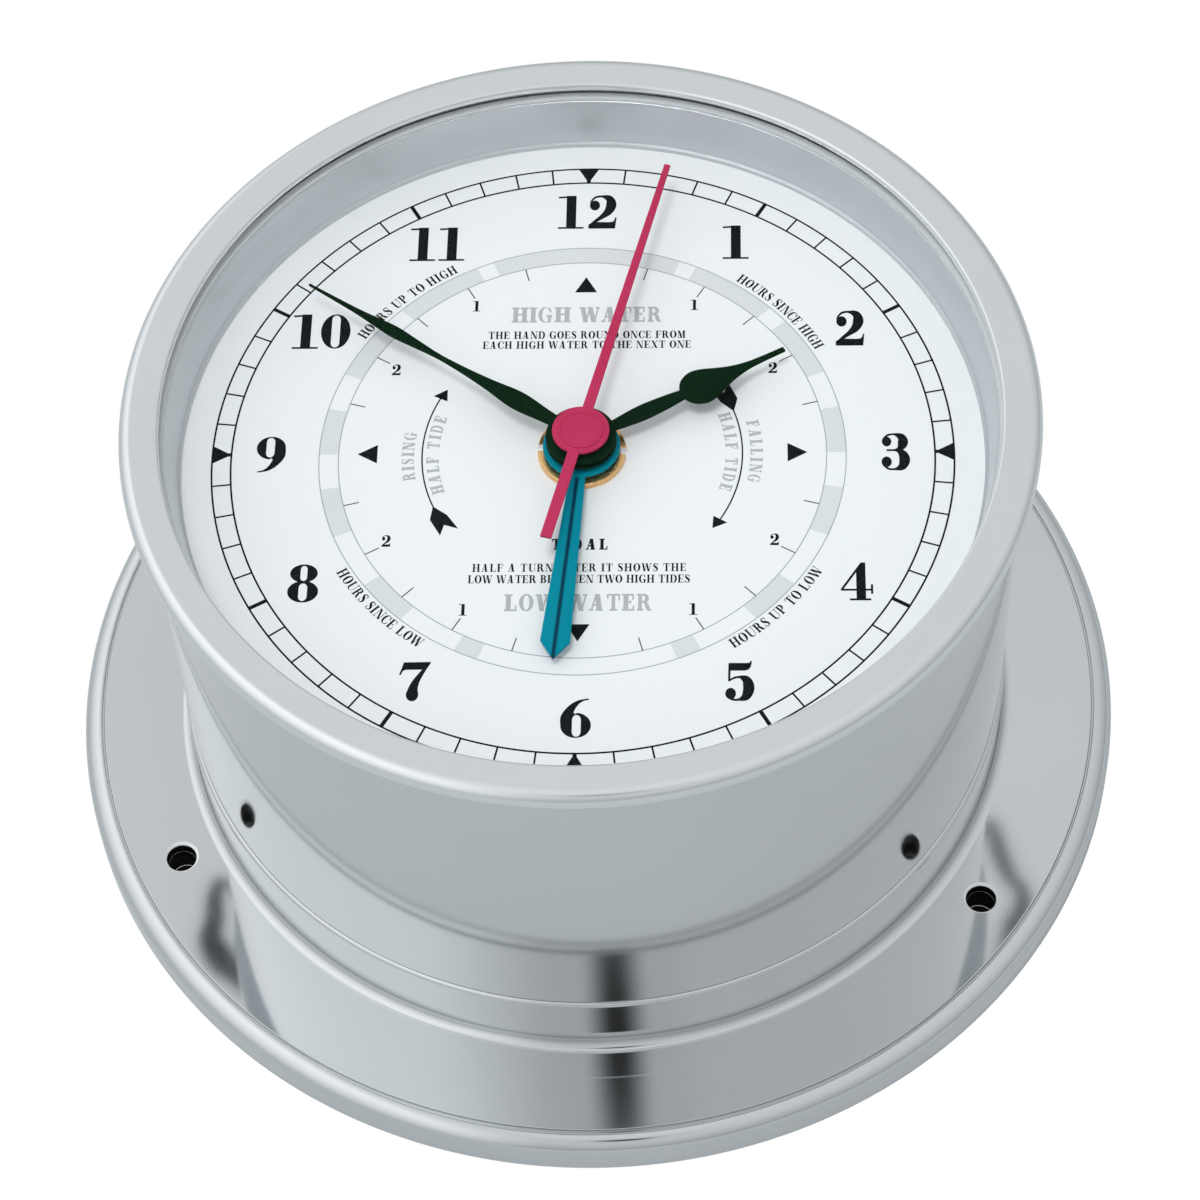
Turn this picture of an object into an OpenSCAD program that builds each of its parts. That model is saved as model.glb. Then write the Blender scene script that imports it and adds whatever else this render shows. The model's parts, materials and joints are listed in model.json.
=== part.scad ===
// Marine quartz clock with a tide hand, in a round metal case that twists off its wall base.
// The clock's axis is Z, 12 o'clock is +Y and the back of the wall flange lies on z = 0.
// All sizes are millimetres, and all hand angles are degrees clockwise from 12 o'clock.

/* [Wall base] */
// Diameter of the wall flange
flange_d = 150; // [148:0.5:154]
// Thickness of the flange
flange_t = 6; // [5.5:0.1:6.5]
// Diameter of the flange's central opening
flange_bore_d = 100; // [96:1:106]
// Diameter of the circle of screw holes
hole_circle_d = 131; // [128:0.5:134]
// Diameter of a screw hole
hole_d = 4.2; // [3.5:0.1:5]
// Turn of the screw holes from 12 o'clock
hole_turn = -3.4; // [-10:0.1:10]
// Height of the joint between the base and the drum
joint_z = 17; // [16:0.1:18]
// Angle that the case turns to leave its base
twist_angle = 25; // [15:1:30]

/* [Case] */
// Diameter of the drum
drum_d = 117; // [116.6:0.1:118]
// Diameter of the bezel
bezel_d = 121.2; // [120.4:0.1:123]
// Height of the bezel's face above the wall
case_h = 74; // [73.5:0.1:76]
// Diameter of the bezel's opening
bezel_opening_d = 110.6; // [110:0.1:111.6]

/* [Dial] */
// Height of the dial's face above the wall
dial_z = 62.5; // [61.5:0.1:63]
// Thickness of the dial
dial_t = 1; // [0.6:0.1:1.2]
// Thickness of the glass
glass_t = 1.8; // [1.5:0.1:1.8]

/* [Hands] */
// Where the second hand points
second_at = 13.7; // [0:0.1:359.9]
// Where the minute hand points
minute_at = 304.5; // [0:0.1:359.9]
// Where the hour hand points
hour_at = 60.9; // [0:0.1:359.9]
// Where the tide hand points
tide_at = 185.1; // [0:0.1:359.9]
// Length of the second hand
second_len = 47.1; // [44:0.1:49]
// Length of the minute hand
minute_len = 45.8; // [44:0.1:48]
// Length of the hour hand
hour_len = 31; // [29:0.1:33]
// Length of the tide hand
tide_len = 34; // [33:0.1:36]
// Thickness of the sheet that the hands are cut from
hand_t = 0.4; // [0.2:0.05:0.4]

/* [Movement] */
// Width and height of the movement's housing
movement_w = 56; // [56:0.5:60]
// Depth of the movement's housing
movement_t = 17; // [17:0.1:19]
// Diameter of the battery
battery_d = 14.2; // [13.8:0.1:14.2]
// Length of the battery with its contact button
battery_len = 50.5; // [49.5:0.1:50.5]

/* [Hidden] */
$fn = 96;

FLANGE_R = flange_d / 2;
DRUM_R = drum_d / 2;
BEZEL_R = bezel_d / 2;
OPENING_R = bezel_opening_d / 2;
DRUM_WALL = 1.9;              // wall of the drum below the dial
DRUM_IN = DRUM_R - DRUM_WALL; // inside of the drum
NECK_R = DRUM_R - 1.1;        // inside of the drum where the bezel screws in
SHOULDER_R = 54;              // inside of the shoulder that the dial rests on
BEZEL_T = 2.4;                // height of the bezel's visible side
COLLAR_R = DRUM_R + 0.4;      // the base's collar, a step wider than the drum
SPIGOT_R = DRUM_IN - 0.3;     // the base's spigot inside the drum
SPIGOT_TOP = joint_z + 9;
LUG_R = 1.5;
LUG_Z = joint_z + 5;
LUG_AT = [30, 150, 270];
GLASS_TOP = case_h - 1.1;
GLASS_R = OPENING_R + 0.9;
GASKET_T = 0.4;
REFLECTOR_TOP = GLASS_TOP - glass_t - GASKET_T;

// Heights of the hands above the wall
NUT_TOP = dial_z + 0.9;
TIDE_Z = dial_z + 1.5;
HOUR_Z = dial_z + 2.7;
MINUTE_Z = dial_z + 3.7;
SECOND_Z = dial_z + 4.9;

// Shafts, from the inside out: each tube runs on the next with this gap all round
RUN = 0.08;
ARBOR_R = 0.75;
CANNON_R = 1.5;
HOUR_TUBE_R = 2.4;
TIDE_TUBE_R = 3.3;
BUSH_R = 4.5;
PIVOT_R = 0.4;
PIVOT_HOLE_R = PIVOT_R + 0.05;
POST_R = 0.45;
POST_HOLE_R = POST_R + 0.05;

// Movement housing
WASHER_T = 0.8;
MOVE_TOP = dial_z - dial_t - WASHER_T;
MOVE_BOTTOM = MOVE_TOP - movement_t;
HALF_W = movement_w / 2;
SHELL = 1.5;
CEILING = MOVE_TOP - 1.3;
FLOOR = MOVE_TOP - 15.7;
PARTITION_Y = -11.8;
BATTERY_Y = -19.05;
BATTERY_Z = MOVE_TOP - 9.3;

// Heights of the wheels, from the dial downwards
WHEEL_T = 1;
TIDE_LEVEL = MOVE_TOP - 2.6;
TRANSFER_LEVEL = MOVE_TOP - 4;
HOUR_LEVEL = MOVE_TOP - 5.4;
CANNON_LEVEL = MOVE_TOP - 7;
CENTRE_LEVEL = MOVE_TOP - 8.6;
PLATE_LEVEL = MOVE_TOP - 10.1;
THIRD_LEVEL = MOVE_TOP - 11.6;
SECOND_LEVEL = MOVE_TOP - 13.3;
ROTOR_LEVEL = MOVE_TOP - 14.9;
PIVOT_FOOT = MOVE_TOP - 16.3;

// Teeth and tooth sizes
PINION_N = 8;
SECOND_N = 40;
THIRD_N = 60;
CENTRE_N = 64;
INTERMEDIATE_N = 48;
CANNON_N = 10;
MINUTE_WORK_N = 30;
HOUR_N = 32;
TRANSFER_N = 57;
IDLER_N = 20;
TIDE_N = 59;
SETTING_N = 20;
TRAIN_M = 0.3;
ROTOR_M = 0.25;
WORK_M = 0.4;
TRANSFER_M = 0.25;

// Distances between wheel axes, and the tooth sizes that follow from sharing them
THIRD_CD = TRAIN_M * (PINION_N + THIRD_N) / 2;
CENTRE_M = 2 * THIRD_CD / (PINION_N + CENTRE_N);
INTERMEDIATE_CD = TRAIN_M * (PINION_N + SECOND_N) / 2;
ROTOR_CD = ROTOR_M * (PINION_N + INTERMEDIATE_N) / 2;
WORK_CD = WORK_M * (CANNON_N + MINUTE_WORK_N) / 2;
IDLER_CD = TRANSFER_M * (TRANSFER_N + IDLER_N) / 2;
TIDE_M = 2 * IDLER_CD / (IDLER_N + TIDE_N);
SETTING_CD = WORK_M * (MINUTE_WORK_N + SETTING_N) / 2;

// Directions from one axis to the next
THIRD_DIR = 60;
INTERMEDIATE_DIR = 150;
ROTOR_DIR = 120;
WORK_DIR = -30;
IDLER_DIR = 120;
SETTING_DIR = 20;

function polar(r, a) = [r * cos(a), r * sin(a)];
// Turn of the follower that puts a gap opposite the driver's tooth
function in_mesh(dir, driver_turn, driver_n, follower_n) =
    dir + 180 + 180 / follower_n - (driver_turn - dir) * driver_n / follower_n;

THIRD_AT = polar(THIRD_CD, THIRD_DIR);
INTERMEDIATE_AT = polar(INTERMEDIATE_CD, INTERMEDIATE_DIR);
ROTOR_AT = INTERMEDIATE_AT + polar(ROTOR_CD, ROTOR_DIR);
WORK_AT = polar(WORK_CD, WORK_DIR);
IDLER_AT = polar(IDLER_CD, IDLER_DIR);
SETTING_AT = WORK_AT + polar(SETTING_CD, SETTING_DIR);

THIRD_TURN = in_mesh(THIRD_DIR, 0, PINION_N, THIRD_N);
CENTRE_TURN = in_mesh(THIRD_DIR + 180, 0, PINION_N, CENTRE_N);
INTERMEDIATE_TURN = in_mesh(INTERMEDIATE_DIR, 0, SECOND_N, PINION_N);
ROTOR_TURN = in_mesh(ROTOR_DIR, 0, INTERMEDIATE_N, PINION_N);
WORK_TURN = in_mesh(WORK_DIR, 0, CANNON_N, MINUTE_WORK_N);
HOUR_TURN = in_mesh(WORK_DIR + 180, 0, PINION_N, HOUR_N);
IDLER_TURN = in_mesh(IDLER_DIR, 0, TRANSFER_N, IDLER_N);
TIDE_TURN = in_mesh(IDLER_DIR + 180, IDLER_TURN, IDLER_N, TIDE_N);
SETTING_TURN = in_mesh(SETTING_DIR, WORK_TURN, MINUTE_WORK_N, SETTING_N);

// Half widths of the hands along their length: [distance from the axis, half width]
MINUTE_SHAPE = [[3.5, 0.8], [6, 1.0], [10.5, 1.4], [15, 0.85], [19, 0.5], [23.5, 0.34],
    [27.5, 0.6], [31, 0.86], [34, 0.66], [38, 0.34], [minute_len, 0.12]];
HOUR_STEM = [[3.5, 0.6], [5.5, 0.85], [9, 1.18], [12.5, 1.05], [15.6, 0.72]];
HOUR_HEART = [[15.2, 0.3], [15.5, 1.2], [16.3, 2.15], [17.8, 2.75], [19.4, 2.5], [21.2, 1.75],
    [23.2, 1.0], [25.4, 0.55], [27.6, 0.4], [hour_len, 0.34]];

// Points between two neighbours of a list, on a smooth curve through all of them
function curve(p, steps) = [for (i = [0:len(p) - 2]) for (k = [0:steps - 1])
    let (a = p[max(i - 1, 0)], b = p[i], c = p[i + 1], d = p[min(i + 2, len(p) - 1)], t = k / steps)
    0.5 * (2 * b + (c - a) * t + (2 * a - 5 * b + 4 * c - d) * t * t
        + (3 * b - a - 3 * c + d) * t * t * t)];
function both_sides(side) = concat([for (p = side) [p[1], p[0]]],
    [for (i = [len(side) - 1:-1:0]) [-side[i][1], side[i][0]]]);
function arc(centre, r, from, to, steps) = [for (i = [0:steps])
    centre + polar(r, from + (to - from) * i / steps)];

module place(at, z) { translate([at[0], at[1], z]) children(); }
module ring(r_out, r_in, z, h) {
    translate([0, 0, z]) difference() {
        cylinder(r = r_out, h = h);
        translate([0, 0, -1]) cylinder(r = r_in, h = h + 2);
    }
}
module rod(r, z_low, z_high) { translate([0, 0, z_low]) cylinder(r = r, h = z_high - z_low, $fn = 48); }

// Toothed disc: teeth with straight flanks, thinner than the gaps so that they run free
module toothed(n, m, t, turn) {
    pitch = 360 / n;
    root = m * (n / 2 - 1.15);
    mid = m * n / 2;
    tip = m * (n / 2 + 0.8);
    rotate(turn) linear_extrude(t) polygon([for (i = [0:n - 1])
        for (c = [[root, -0.3], [mid, -0.19], [tip, -0.08], [tip, 0.08], [mid, 0.19], [root, 0.3]])
            polar(c[0], (i + c[1]) * pitch)]);
}
module bored(r, z_low, z_high) {
    difference() {
        union() children();
        rod(r, z_low - 1, z_high + 1);
    }
}
// Hand with a round hub, bored to sit on its shaft
module hand(at, z, hub_r, bore_r) {
    rotate(-at) translate([0, 0, z]) difference() {
        union() {
            linear_extrude(hand_t) children();
            cylinder(r = hub_r, h = hand_t);
        }
        translate([0, 0, -1]) cylinder(r = bore_r, h = hand_t + 2, $fn = 48);
    }
}

// ---- Wall base ----
module base_flange() {
    lip_r = 2.4;        // rounded outer edge
    crease_w = 0.5;     // small groove inside the rounded edge
    crease_depth = 0.35;
    crease_at = FLANGE_R - lip_r - 0.3;
    color([0.80, 0.81, 0.82]) difference() {
        rotate_extrude($fn = 180) polygon(concat(
            [[flange_bore_d / 2, 0], [FLANGE_R - 0.6, 0], [FLANGE_R, 0.6]],
            arc([FLANGE_R - lip_r, flange_t - lip_r + 0.2], lip_r, 0, 90, 10),
            [[crease_at, flange_t - crease_depth], [crease_at - crease_w, flange_t - crease_depth],
                [crease_at - crease_w - 0.2, flange_t], [flange_bore_d / 2, flange_t]]));
        for (i = [0:2]) rotate(90 + hole_turn + 120 * i) translate([hole_circle_d / 2, 0, 0]) screw_hole();
    }
}
// Collar that the drum stands on, with the spigot that the drum turns on
module base_collar() {
    foot_r = 1.5;       // rounded corner at the foot of the collar
    spigot_wall = 1.6;
    color([0.80, 0.81, 0.82]) difference() {
        rotate_extrude($fn = 180) polygon(concat(
            [[SPIGOT_R - spigot_wall, flange_t]],
            arc([COLLAR_R + foot_r, flange_t + foot_r], foot_r, 270, 180, 8),
            [[COLLAR_R, joint_z - 0.3], [COLLAR_R - 0.3, joint_z], [SPIGOT_R, joint_z],
                [SPIGOT_R, SPIGOT_TOP], [SPIGOT_R - spigot_wall, SPIGOT_TOP]]));
        for (a = LUG_AT) bayonet_slot(a);
    }
}
// Through hole with a light chamfer at the front
module screw_hole() {
    r = hole_d / 2;
    chamfer = 0.4;
    rotate_extrude($fn = 48) polygon([[0, -1], [r, -1], [r, flange_t - chamfer],
        [r + 2 * chamfer, flange_t + chamfer], [0, flange_t + chamfer]]);
}
// Slot that a lug drops into and then slides along
module bayonet_slot(a) {
    gap = 0.4;
    half = LUG_R + gap;
    reach = asin(half / SPIGOT_R);
    rotate(a - reach) translate([0, 0, LUG_Z - half])
        rotate_extrude(angle = twist_angle + reach, $fn = 180)
            translate([SPIGOT_R - 3, 0]) square([4, 2*half]);
    rotate(a + twist_angle) translate([SPIGOT_R - 4, -half, LUG_Z - half - 0.25])
        cube([6, 2*half, SPIGOT_TOP - LUG_Z + half + 1.25]);
}

// ---- Case ----
module case_drum() {
    top = case_h - BEZEL_T;
    bottom = joint_z + 0.15;
    color([0.80, 0.81, 0.82]) difference() {
        rotate_extrude($fn = 180) polygon([[DRUM_IN, bottom + 0.3], [DRUM_IN + 0.3, bottom],
            [DRUM_R - 0.25, bottom], [DRUM_R, bottom + 0.25], [DRUM_R, top - 0.5], [DRUM_R - 0.5, top],
            [NECK_R, top], [NECK_R, dial_z - dial_t], [SHOULDER_R, dial_z - dial_t],
            [SHOULDER_R, dial_z - dial_t - 1.2], [DRUM_IN, dial_z - dial_t - 1.2 - (DRUM_IN - SHOULDER_R)]]);
        for (a = LUG_AT) lug(a, 1);
    }
}
module lug(a, below) {
    rotate(a) translate([DRUM_IN + 1.2, 0, LUG_Z]) rotate([0, -90, 0])
        cylinder(r = LUG_R, h = 1.2 + below, $fn = 48);
}
module bayonet_lugs() { color([0.82, 0.80, 0.75]) for (a = LUG_AT) lug(a, 2.4); }
module bezel_ring() {
    edge_r = 1.5;       // rounded outer corner
    inner_r = 0.4;      // rounded corner at the opening
    low = case_h - BEZEL_T;
    slope = 0.25;       // fall of the face towards the opening
    color([0.83, 0.84, 0.85]) rotate_extrude($fn = 180) polygon(concat(
        [[GLASS_R + 0.15, low - 5], [NECK_R - 0.1, low - 5], [NECK_R - 0.1, low], [BEZEL_R - 0.4, low],
            [BEZEL_R, low + 0.4]],
        arc([BEZEL_R - edge_r, case_h - edge_r], edge_r, 0, 90, 10),
        arc([OPENING_R + inner_r, case_h - slope - inner_r], inner_r, 90, 180, 5),
        [[OPENING_R, GLASS_TOP], [GLASS_R + 0.15, GLASS_TOP]]));
}
module glass_lens() {
    color([0.85, 0.92, 0.93, 0.3]) translate([0, 0, GLASS_TOP - glass_t])
        cylinder(r = GLASS_R, h = glass_t, $fn = 180);
}
module glass_gasket() {
    color([0.15, 0.15, 0.15]) ring(GLASS_R, OPENING_R - 0.2, REFLECTOR_TOP, GASKET_T);
}
// Conical ring between the dial and the glass
module reflector_ring() {
    top_r = OPENING_R - 0.4;
    low_r = 53.9;
    wall = 0.8;
    color([0.72, 0.74, 0.75]) rotate_extrude($fn = 180) polygon([[low_r - 0.3, dial_z],
        [low_r + wall, dial_z], [top_r + wall, REFLECTOR_TOP - 0.6], [GLASS_R, REFLECTOR_TOP - 0.6],
        [GLASS_R, REFLECTOR_TOP], [top_r, REFLECTOR_TOP], [low_r, dial_z + 0.9], [low_r - 0.3, dial_z + 0.6]]);
}
module dial_plate() {
    color([0.92, 0.94, 0.95]) ring(NECK_R - 0.4, BUSH_R + 0.1, dial_z - dial_t, dial_t);
}
module rubber_washer() { color([0.12, 0.12, 0.12]) ring(9, BUSH_R + 0.1, MOVE_TOP, WASHER_T); }
module threaded_bush() {
    flange_r = 6.5;
    color([0.80, 0.62, 0.30]) difference() {
        union() {
            rod(flange_r, CEILING, MOVE_TOP);
            rod(BUSH_R, MOVE_TOP, NUT_TOP + 0.4);
        }
        rod(TIDE_TUBE_R + RUN, CEILING - 1, NUT_TOP + 1);
    }
}
// Round nut with four spanner slots
module bush_nut() {
    slot_w = 1;
    color([0.85, 0.66, 0.35]) difference() {
        ring(5.9, BUSH_R, dial_z, NUT_TOP - dial_z);
        for (a = [0:90:270]) rotate(a - 3) translate([5.2, -slot_w / 2, dial_z - 1]) cube([2, slot_w, 3]);
    }
}

// ---- Movement housing ----
module housing_box(inset, z_low, z_high) {
    w = movement_w - 2 * inset;
    translate([-w / 2, -w / 2, z_low]) cube([w, w, z_high - z_low]);
}
module movement_front_case() {
    pillars = [[-13, -9.3], [13, -9.3], [-13, 19.5], [13, 19.5]];
    color([0.16, 0.17, 0.18]) difference() {
        union() {
            difference() {
                housing_box(0, FLOOR, MOVE_TOP);
                housing_box(SHELL, FLOOR - 1, CEILING);
            }
            translate([-HALF_W + SHELL, PARTITION_Y, FLOOR])
                cube([movement_w - 2 * SHELL, 1, CEILING - FLOOR]);
            for (p = pillars) place(p, 0) rod(1.3, PLATE_LEVEL + WHEEL_T, CEILING);
            place(WORK_AT, 0) rod(POST_R, CANNON_LEVEL, CEILING);
            place(IDLER_AT, 0) rod(POST_R, TRANSFER_LEVEL - 0.4, CEILING);
            place(THIRD_AT, 0) rod(1.3, CENTRE_LEVEL + WHEEL_T + 0.3, CEILING);
            place(SETTING_AT, 0) rod(1.6, CANNON_LEVEL + WHEEL_T + 0.4, CEILING);
        }
        rod(6.5, CEILING - 1, MOVE_TOP + 1);
        place(THIRD_AT, 0) rod(PIVOT_HOLE_R, CENTRE_LEVEL, CENTRE_LEVEL + WHEEL_T + 2.3);
        place(SETTING_AT, 0) rod(0.65, CANNON_LEVEL, CANNON_LEVEL + WHEEL_T + 2.4);
    }
}
module movement_rear_cover() {
    stator_posts = [[-15.5, 15.6], [-15.5, 4]];
    board_posts = [[23.5, 5], [23.5, 22.5], [12.5, 22.5]];
    color([0.20, 0.21, 0.22]) difference() {
        union() {
            translate([-HALF_W, PARTITION_Y, MOVE_BOTTOM])
                cube([movement_w, HALF_W - PARTITION_Y, FLOOR - MOVE_BOTTOM]);
            for (p = stator_posts) place(p, 0) rod(1.2, FLOOR, SECOND_LEVEL + 0.7);
            for (p = board_posts) place(p, 0) rod(1.2, FLOOR, FLOOR + 0.8);
        }
        for (p = [[0, 0], THIRD_AT, INTERMEDIATE_AT, ROTOR_AT])
            place(p, 0) rod(p == [0, 0] ? 0.55 : PIVOT_HOLE_R, PIVOT_FOOT - 0.1, FLOOR + 1);
        place(SETTING_AT, 0) rod(1.05, MOVE_BOTTOM - 1, FLOOR + 1);
    }
}
// Plate between the seconds train and the motion work
module train_plate() {
    color([0.82, 0.82, 0.78]) difference() {
        translate([-15, -10.6, PLATE_LEVEL]) cube([30, 32, WHEEL_T]);
        rod(ARBOR_R + RUN, PLATE_LEVEL - 1, PLATE_LEVEL + 2);
        place(THIRD_AT, 0) rod(1.9, PLATE_LEVEL - 1, PLATE_LEVEL + 2);
        for (p = [INTERMEDIATE_AT, ROTOR_AT]) place(p, 0)
            rod(PIVOT_HOLE_R, PLATE_LEVEL - 1, PLATE_LEVEL + 0.6);
    }
}

// ---- Motor and circuit ----
COIL_X = -20.5;
COIL_Y = [2, 19];
STATOR_Z = SECOND_LEVEL + 0.7;
STATOR_T = 0.8;
// Iron plate that carries the coil's field round the rotor
module stator() {
    core_w = 1.6;
    arm_w = 2.1;
    clear_x = COIL_X + 3.6;
    top = COIL_Y[1] + 1.9;
    low = COIL_Y[0] - 1.9;
    x = ROTOR_AT[0];
    y = ROTOR_AT[1];
    color([0.55, 0.56, 0.58]) translate([0, 0, STATOR_Z]) difference() {
        union() {
            place(ROTOR_AT, 0) cylinder(r = 4.6, h = STATOR_T);
            translate([COIL_X - core_w / 2, low - 0.1, 0]) cube([core_w, top - low + 0.2, STATOR_T]);
            linear_extrude(STATOR_T) polygon([[COIL_X, top], [COIL_X, top - arm_w],
                [clear_x, top - arm_w], [x - 3.6, y + 1], [x + 0.5, y + 4], [clear_x + 1, top]]);
            linear_extrude(STATOR_T) polygon([[COIL_X, low], [COIL_X, low + arm_w],
                [clear_x, low + arm_w], [x - 4, y + 0.5], [x - 1, y - 4], [clear_x + 1, low]]);
        }
        place(ROTOR_AT, -1) cylinder(r = 2.9, h = STATOR_T + 2);
    }
}
module along_coil(y_low, y_high) {
    translate([COIL_X, y_high, STATOR_Z + STATOR_T / 2]) rotate([90, 0, 0]) linear_extrude(y_high - y_low) children();
}
module coil_bobbin() {
    cheek = 0.8;
    flange_h = 2 * (STATOR_Z + STATOR_T / 2 - FLOOR);
    color([0.90, 0.88, 0.80]) difference() {
        union() {
            along_coil(COIL_Y[0] + 0.4, COIL_Y[0] + 0.4 + cheek) square([6.4, flange_h], center = true);
            along_coil(COIL_Y[1] - 0.4 - cheek, COIL_Y[1] - 0.4) square([6.4, flange_h], center = true);
            along_coil(COIL_Y[0] + 0.4, COIL_Y[1] - 0.4) square([2.8, 2], center = true);
        }
        along_coil(COIL_Y[0] - 1, COIL_Y[1] + 1) square([1.8, 1], center = true);
    }
}
module coil_winding() {
    color([0.72, 0.42, 0.20]) along_coil(COIL_Y[0] + 1.2, COIL_Y[1] - 1.2) difference() {
        circle(r = 2.9);
        square([2.8, 2], center = true);
    }
}
module circuit_board() {
    color([0.10, 0.35, 0.18]) translate([10.5, 3, FLOOR + 0.8]) cube([14.5, 21, 0.8]);
}
module clock_chip() { color([0.06, 0.06, 0.06]) translate([15, 10, FLOOR + 1.6]) cylinder(r = 2.2, h = 0.9); }
module quartz_crystal() {
    color([0.78, 0.79, 0.80]) translate([21.5, 8, FLOOR + 2.6]) rotate([-90, 0, 0])
        cylinder(r = 1, h = 6, $fn = 48);
}
module battery() {
    x_low = -HALF_W + SHELL + 2.1;
    button = 1;
    color([0.30, 0.31, 0.33]) translate([x_low, BATTERY_Y, BATTERY_Z]) rotate([0, 90, 0]) {
        cylinder(d = battery_d, h = battery_len - button);
        cylinder(r = 2.7, h = battery_len);
    }
}
module battery_contact_plus() {
    color([0.80, 0.80, 0.78]) translate([HALF_W - SHELL - 0.4, BATTERY_Y - 3, FLOOR])
        cube([0.4, 6, 12]);
}
// Bent leaf that presses the battery against the other contact
module battery_contact_minus() {
    x = -HALF_W + SHELL;
    y = BATTERY_Y;
    color([0.80, 0.80, 0.78]) translate([0, 0, FLOOR]) linear_extrude(12) polygon([[x, y - 5],
        [x + 0.4, y - 5], [x + 2.0, y - 0.5], [x + 2.0, y + 0.5], [x + 0.4, y + 5], [x, y + 5],
        [x, y + 4.5], [x + 1.6, y], [x, y - 4.5]]);
}

// ---- Seconds train ----
module rotor_pinion() {
    color([0.85, 0.85, 0.80]) place(ROTOR_AT, 0) {
        translate([0, 0, ROTOR_LEVEL]) toothed(PINION_N, ROTOR_M, WHEEL_T, ROTOR_TURN);
        rod(PIVOT_R, PIVOT_FOOT, PLATE_LEVEL + 0.3);
        rod(0.8, ROTOR_LEVEL + WHEEL_T - 0.1, PLATE_LEVEL - 0.3);
    }
}
module rotor_magnet() {
    color([0.30, 0.30, 0.32]) place(ROTOR_AT, 0)
        bored(0.8, SECOND_LEVEL + 0.2, SECOND_LEVEL + 2) rod(2.4, SECOND_LEVEL + 0.2, SECOND_LEVEL + 2);
}
module intermediate_wheel() {
    color([0.92, 0.90, 0.84]) place(INTERMEDIATE_AT, 0) {
        translate([0, 0, ROTOR_LEVEL]) toothed(INTERMEDIATE_N, ROTOR_M, WHEEL_T, 0);
        translate([0, 0, ROTOR_LEVEL + WHEEL_T])
            toothed(PINION_N, TRAIN_M, SECOND_LEVEL - ROTOR_LEVEL, INTERMEDIATE_TURN);
        rod(PIVOT_R, PIVOT_FOOT, PLATE_LEVEL + 0.3);
    }
}
module second_wheel() {
    color([0.92, 0.90, 0.84]) difference() {
        union() {
            translate([0, 0, SECOND_LEVEL]) toothed(SECOND_N, TRAIN_M, WHEEL_T, 0);
            translate([0, 0, SECOND_LEVEL + WHEEL_T])
                toothed(PINION_N, TRAIN_M, THIRD_LEVEL - SECOND_LEVEL, 0);
        }
        rod(0.5, SECOND_LEVEL - 1, THIRD_LEVEL + 2);
    }
}
module second_arbor() {
    color([0.75, 0.76, 0.78]) {
        rod(0.5, PIVOT_FOOT, THIRD_LEVEL + WHEEL_T);
        rod(ARBOR_R, THIRD_LEVEL + WHEEL_T, SECOND_Z);
    }
}
module second_hand() {
    tail = 17.7;
    color([0.76, 0.20, 0.34]) {
        hand(second_at, SECOND_Z, 3.8, 0) polygon([[-0.74, -tail], [0.74, -tail], [0.74, 0],
            [0.42, second_len], [-0.42, second_len], [-0.74, 0]]);
        rotate(-second_at) ring(1.3, ARBOR_R, SECOND_Z - 0.6, 0.6);
    }
}
module third_wheel() {
    color([0.92, 0.90, 0.84]) place(THIRD_AT, 0) {
        translate([0, 0, THIRD_LEVEL]) toothed(THIRD_N, TRAIN_M, WHEEL_T, THIRD_TURN);
        translate([0, 0, THIRD_LEVEL + WHEEL_T])
            toothed(PINION_N, CENTRE_M, CENTRE_LEVEL - THIRD_LEVEL, 0);
        rod(PIVOT_R, PIVOT_FOOT, CENTRE_LEVEL + WHEEL_T + 2);
    }
}
module centre_wheel() {
    color([0.92, 0.90, 0.84]) bored(CANNON_R + 0.05, CENTRE_LEVEL, CENTRE_LEVEL + WHEEL_T)
        translate([0, 0, CENTRE_LEVEL]) toothed(CENTRE_N, CENTRE_M, WHEEL_T, CENTRE_TURN);
}

// ---- Motion work ----
module cannon_pinion() {
    foot = CENTRE_LEVEL - 0.3;
    color([0.85, 0.70, 0.40]) bored(ARBOR_R + RUN, foot, MINUTE_Z + 1) {
        rod(CANNON_R, foot, MINUTE_Z + hand_t);
        translate([0, 0, CANNON_LEVEL]) toothed(CANNON_N, WORK_M, WHEEL_T, 0);
    }
}
// Springy washer that lets the hands slip on the centre wheel while they are set
module clutch_washer() {
    color([0.78, 0.78, 0.76]) ring(4, CANNON_R, CENTRE_LEVEL + WHEEL_T + 0.1, 0.3);
}
module minute_work_wheel() {
    color([0.92, 0.90, 0.84]) place(WORK_AT, 0)
        bored(POST_HOLE_R, CANNON_LEVEL, HOUR_LEVEL + WHEEL_T) {
            translate([0, 0, CANNON_LEVEL]) toothed(MINUTE_WORK_N, WORK_M, WHEEL_T, WORK_TURN);
            translate([0, 0, CANNON_LEVEL + WHEEL_T])
                toothed(PINION_N, WORK_M, HOUR_LEVEL - CANNON_LEVEL, 0);
        }
}
module hour_wheel() {
    color([0.92, 0.90, 0.84]) bored(CANNON_R + RUN, HOUR_LEVEL, HOUR_Z + 1) {
        translate([0, 0, HOUR_LEVEL]) toothed(HOUR_N, WORK_M, WHEEL_T, HOUR_TURN);
        translate([0, 0, TRANSFER_LEVEL]) toothed(TRANSFER_N, TRANSFER_M, WHEEL_T, 0);
        rod(HOUR_TUBE_R, HOUR_LEVEL, HOUR_Z + hand_t);
    }
}
module tide_idler() {
    color([0.92, 0.90, 0.84]) place(IDLER_AT, 0)
        bored(POST_HOLE_R, TRANSFER_LEVEL, TIDE_LEVEL + WHEEL_T) {
            translate([0, 0, TRANSFER_LEVEL]) toothed(IDLER_N, TRANSFER_M, TIDE_LEVEL - TRANSFER_LEVEL, IDLER_TURN);
            translate([0, 0, TIDE_LEVEL - 0.4]) toothed(IDLER_N, TIDE_M, WHEEL_T + 0.4, IDLER_TURN);
        }
}
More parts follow.
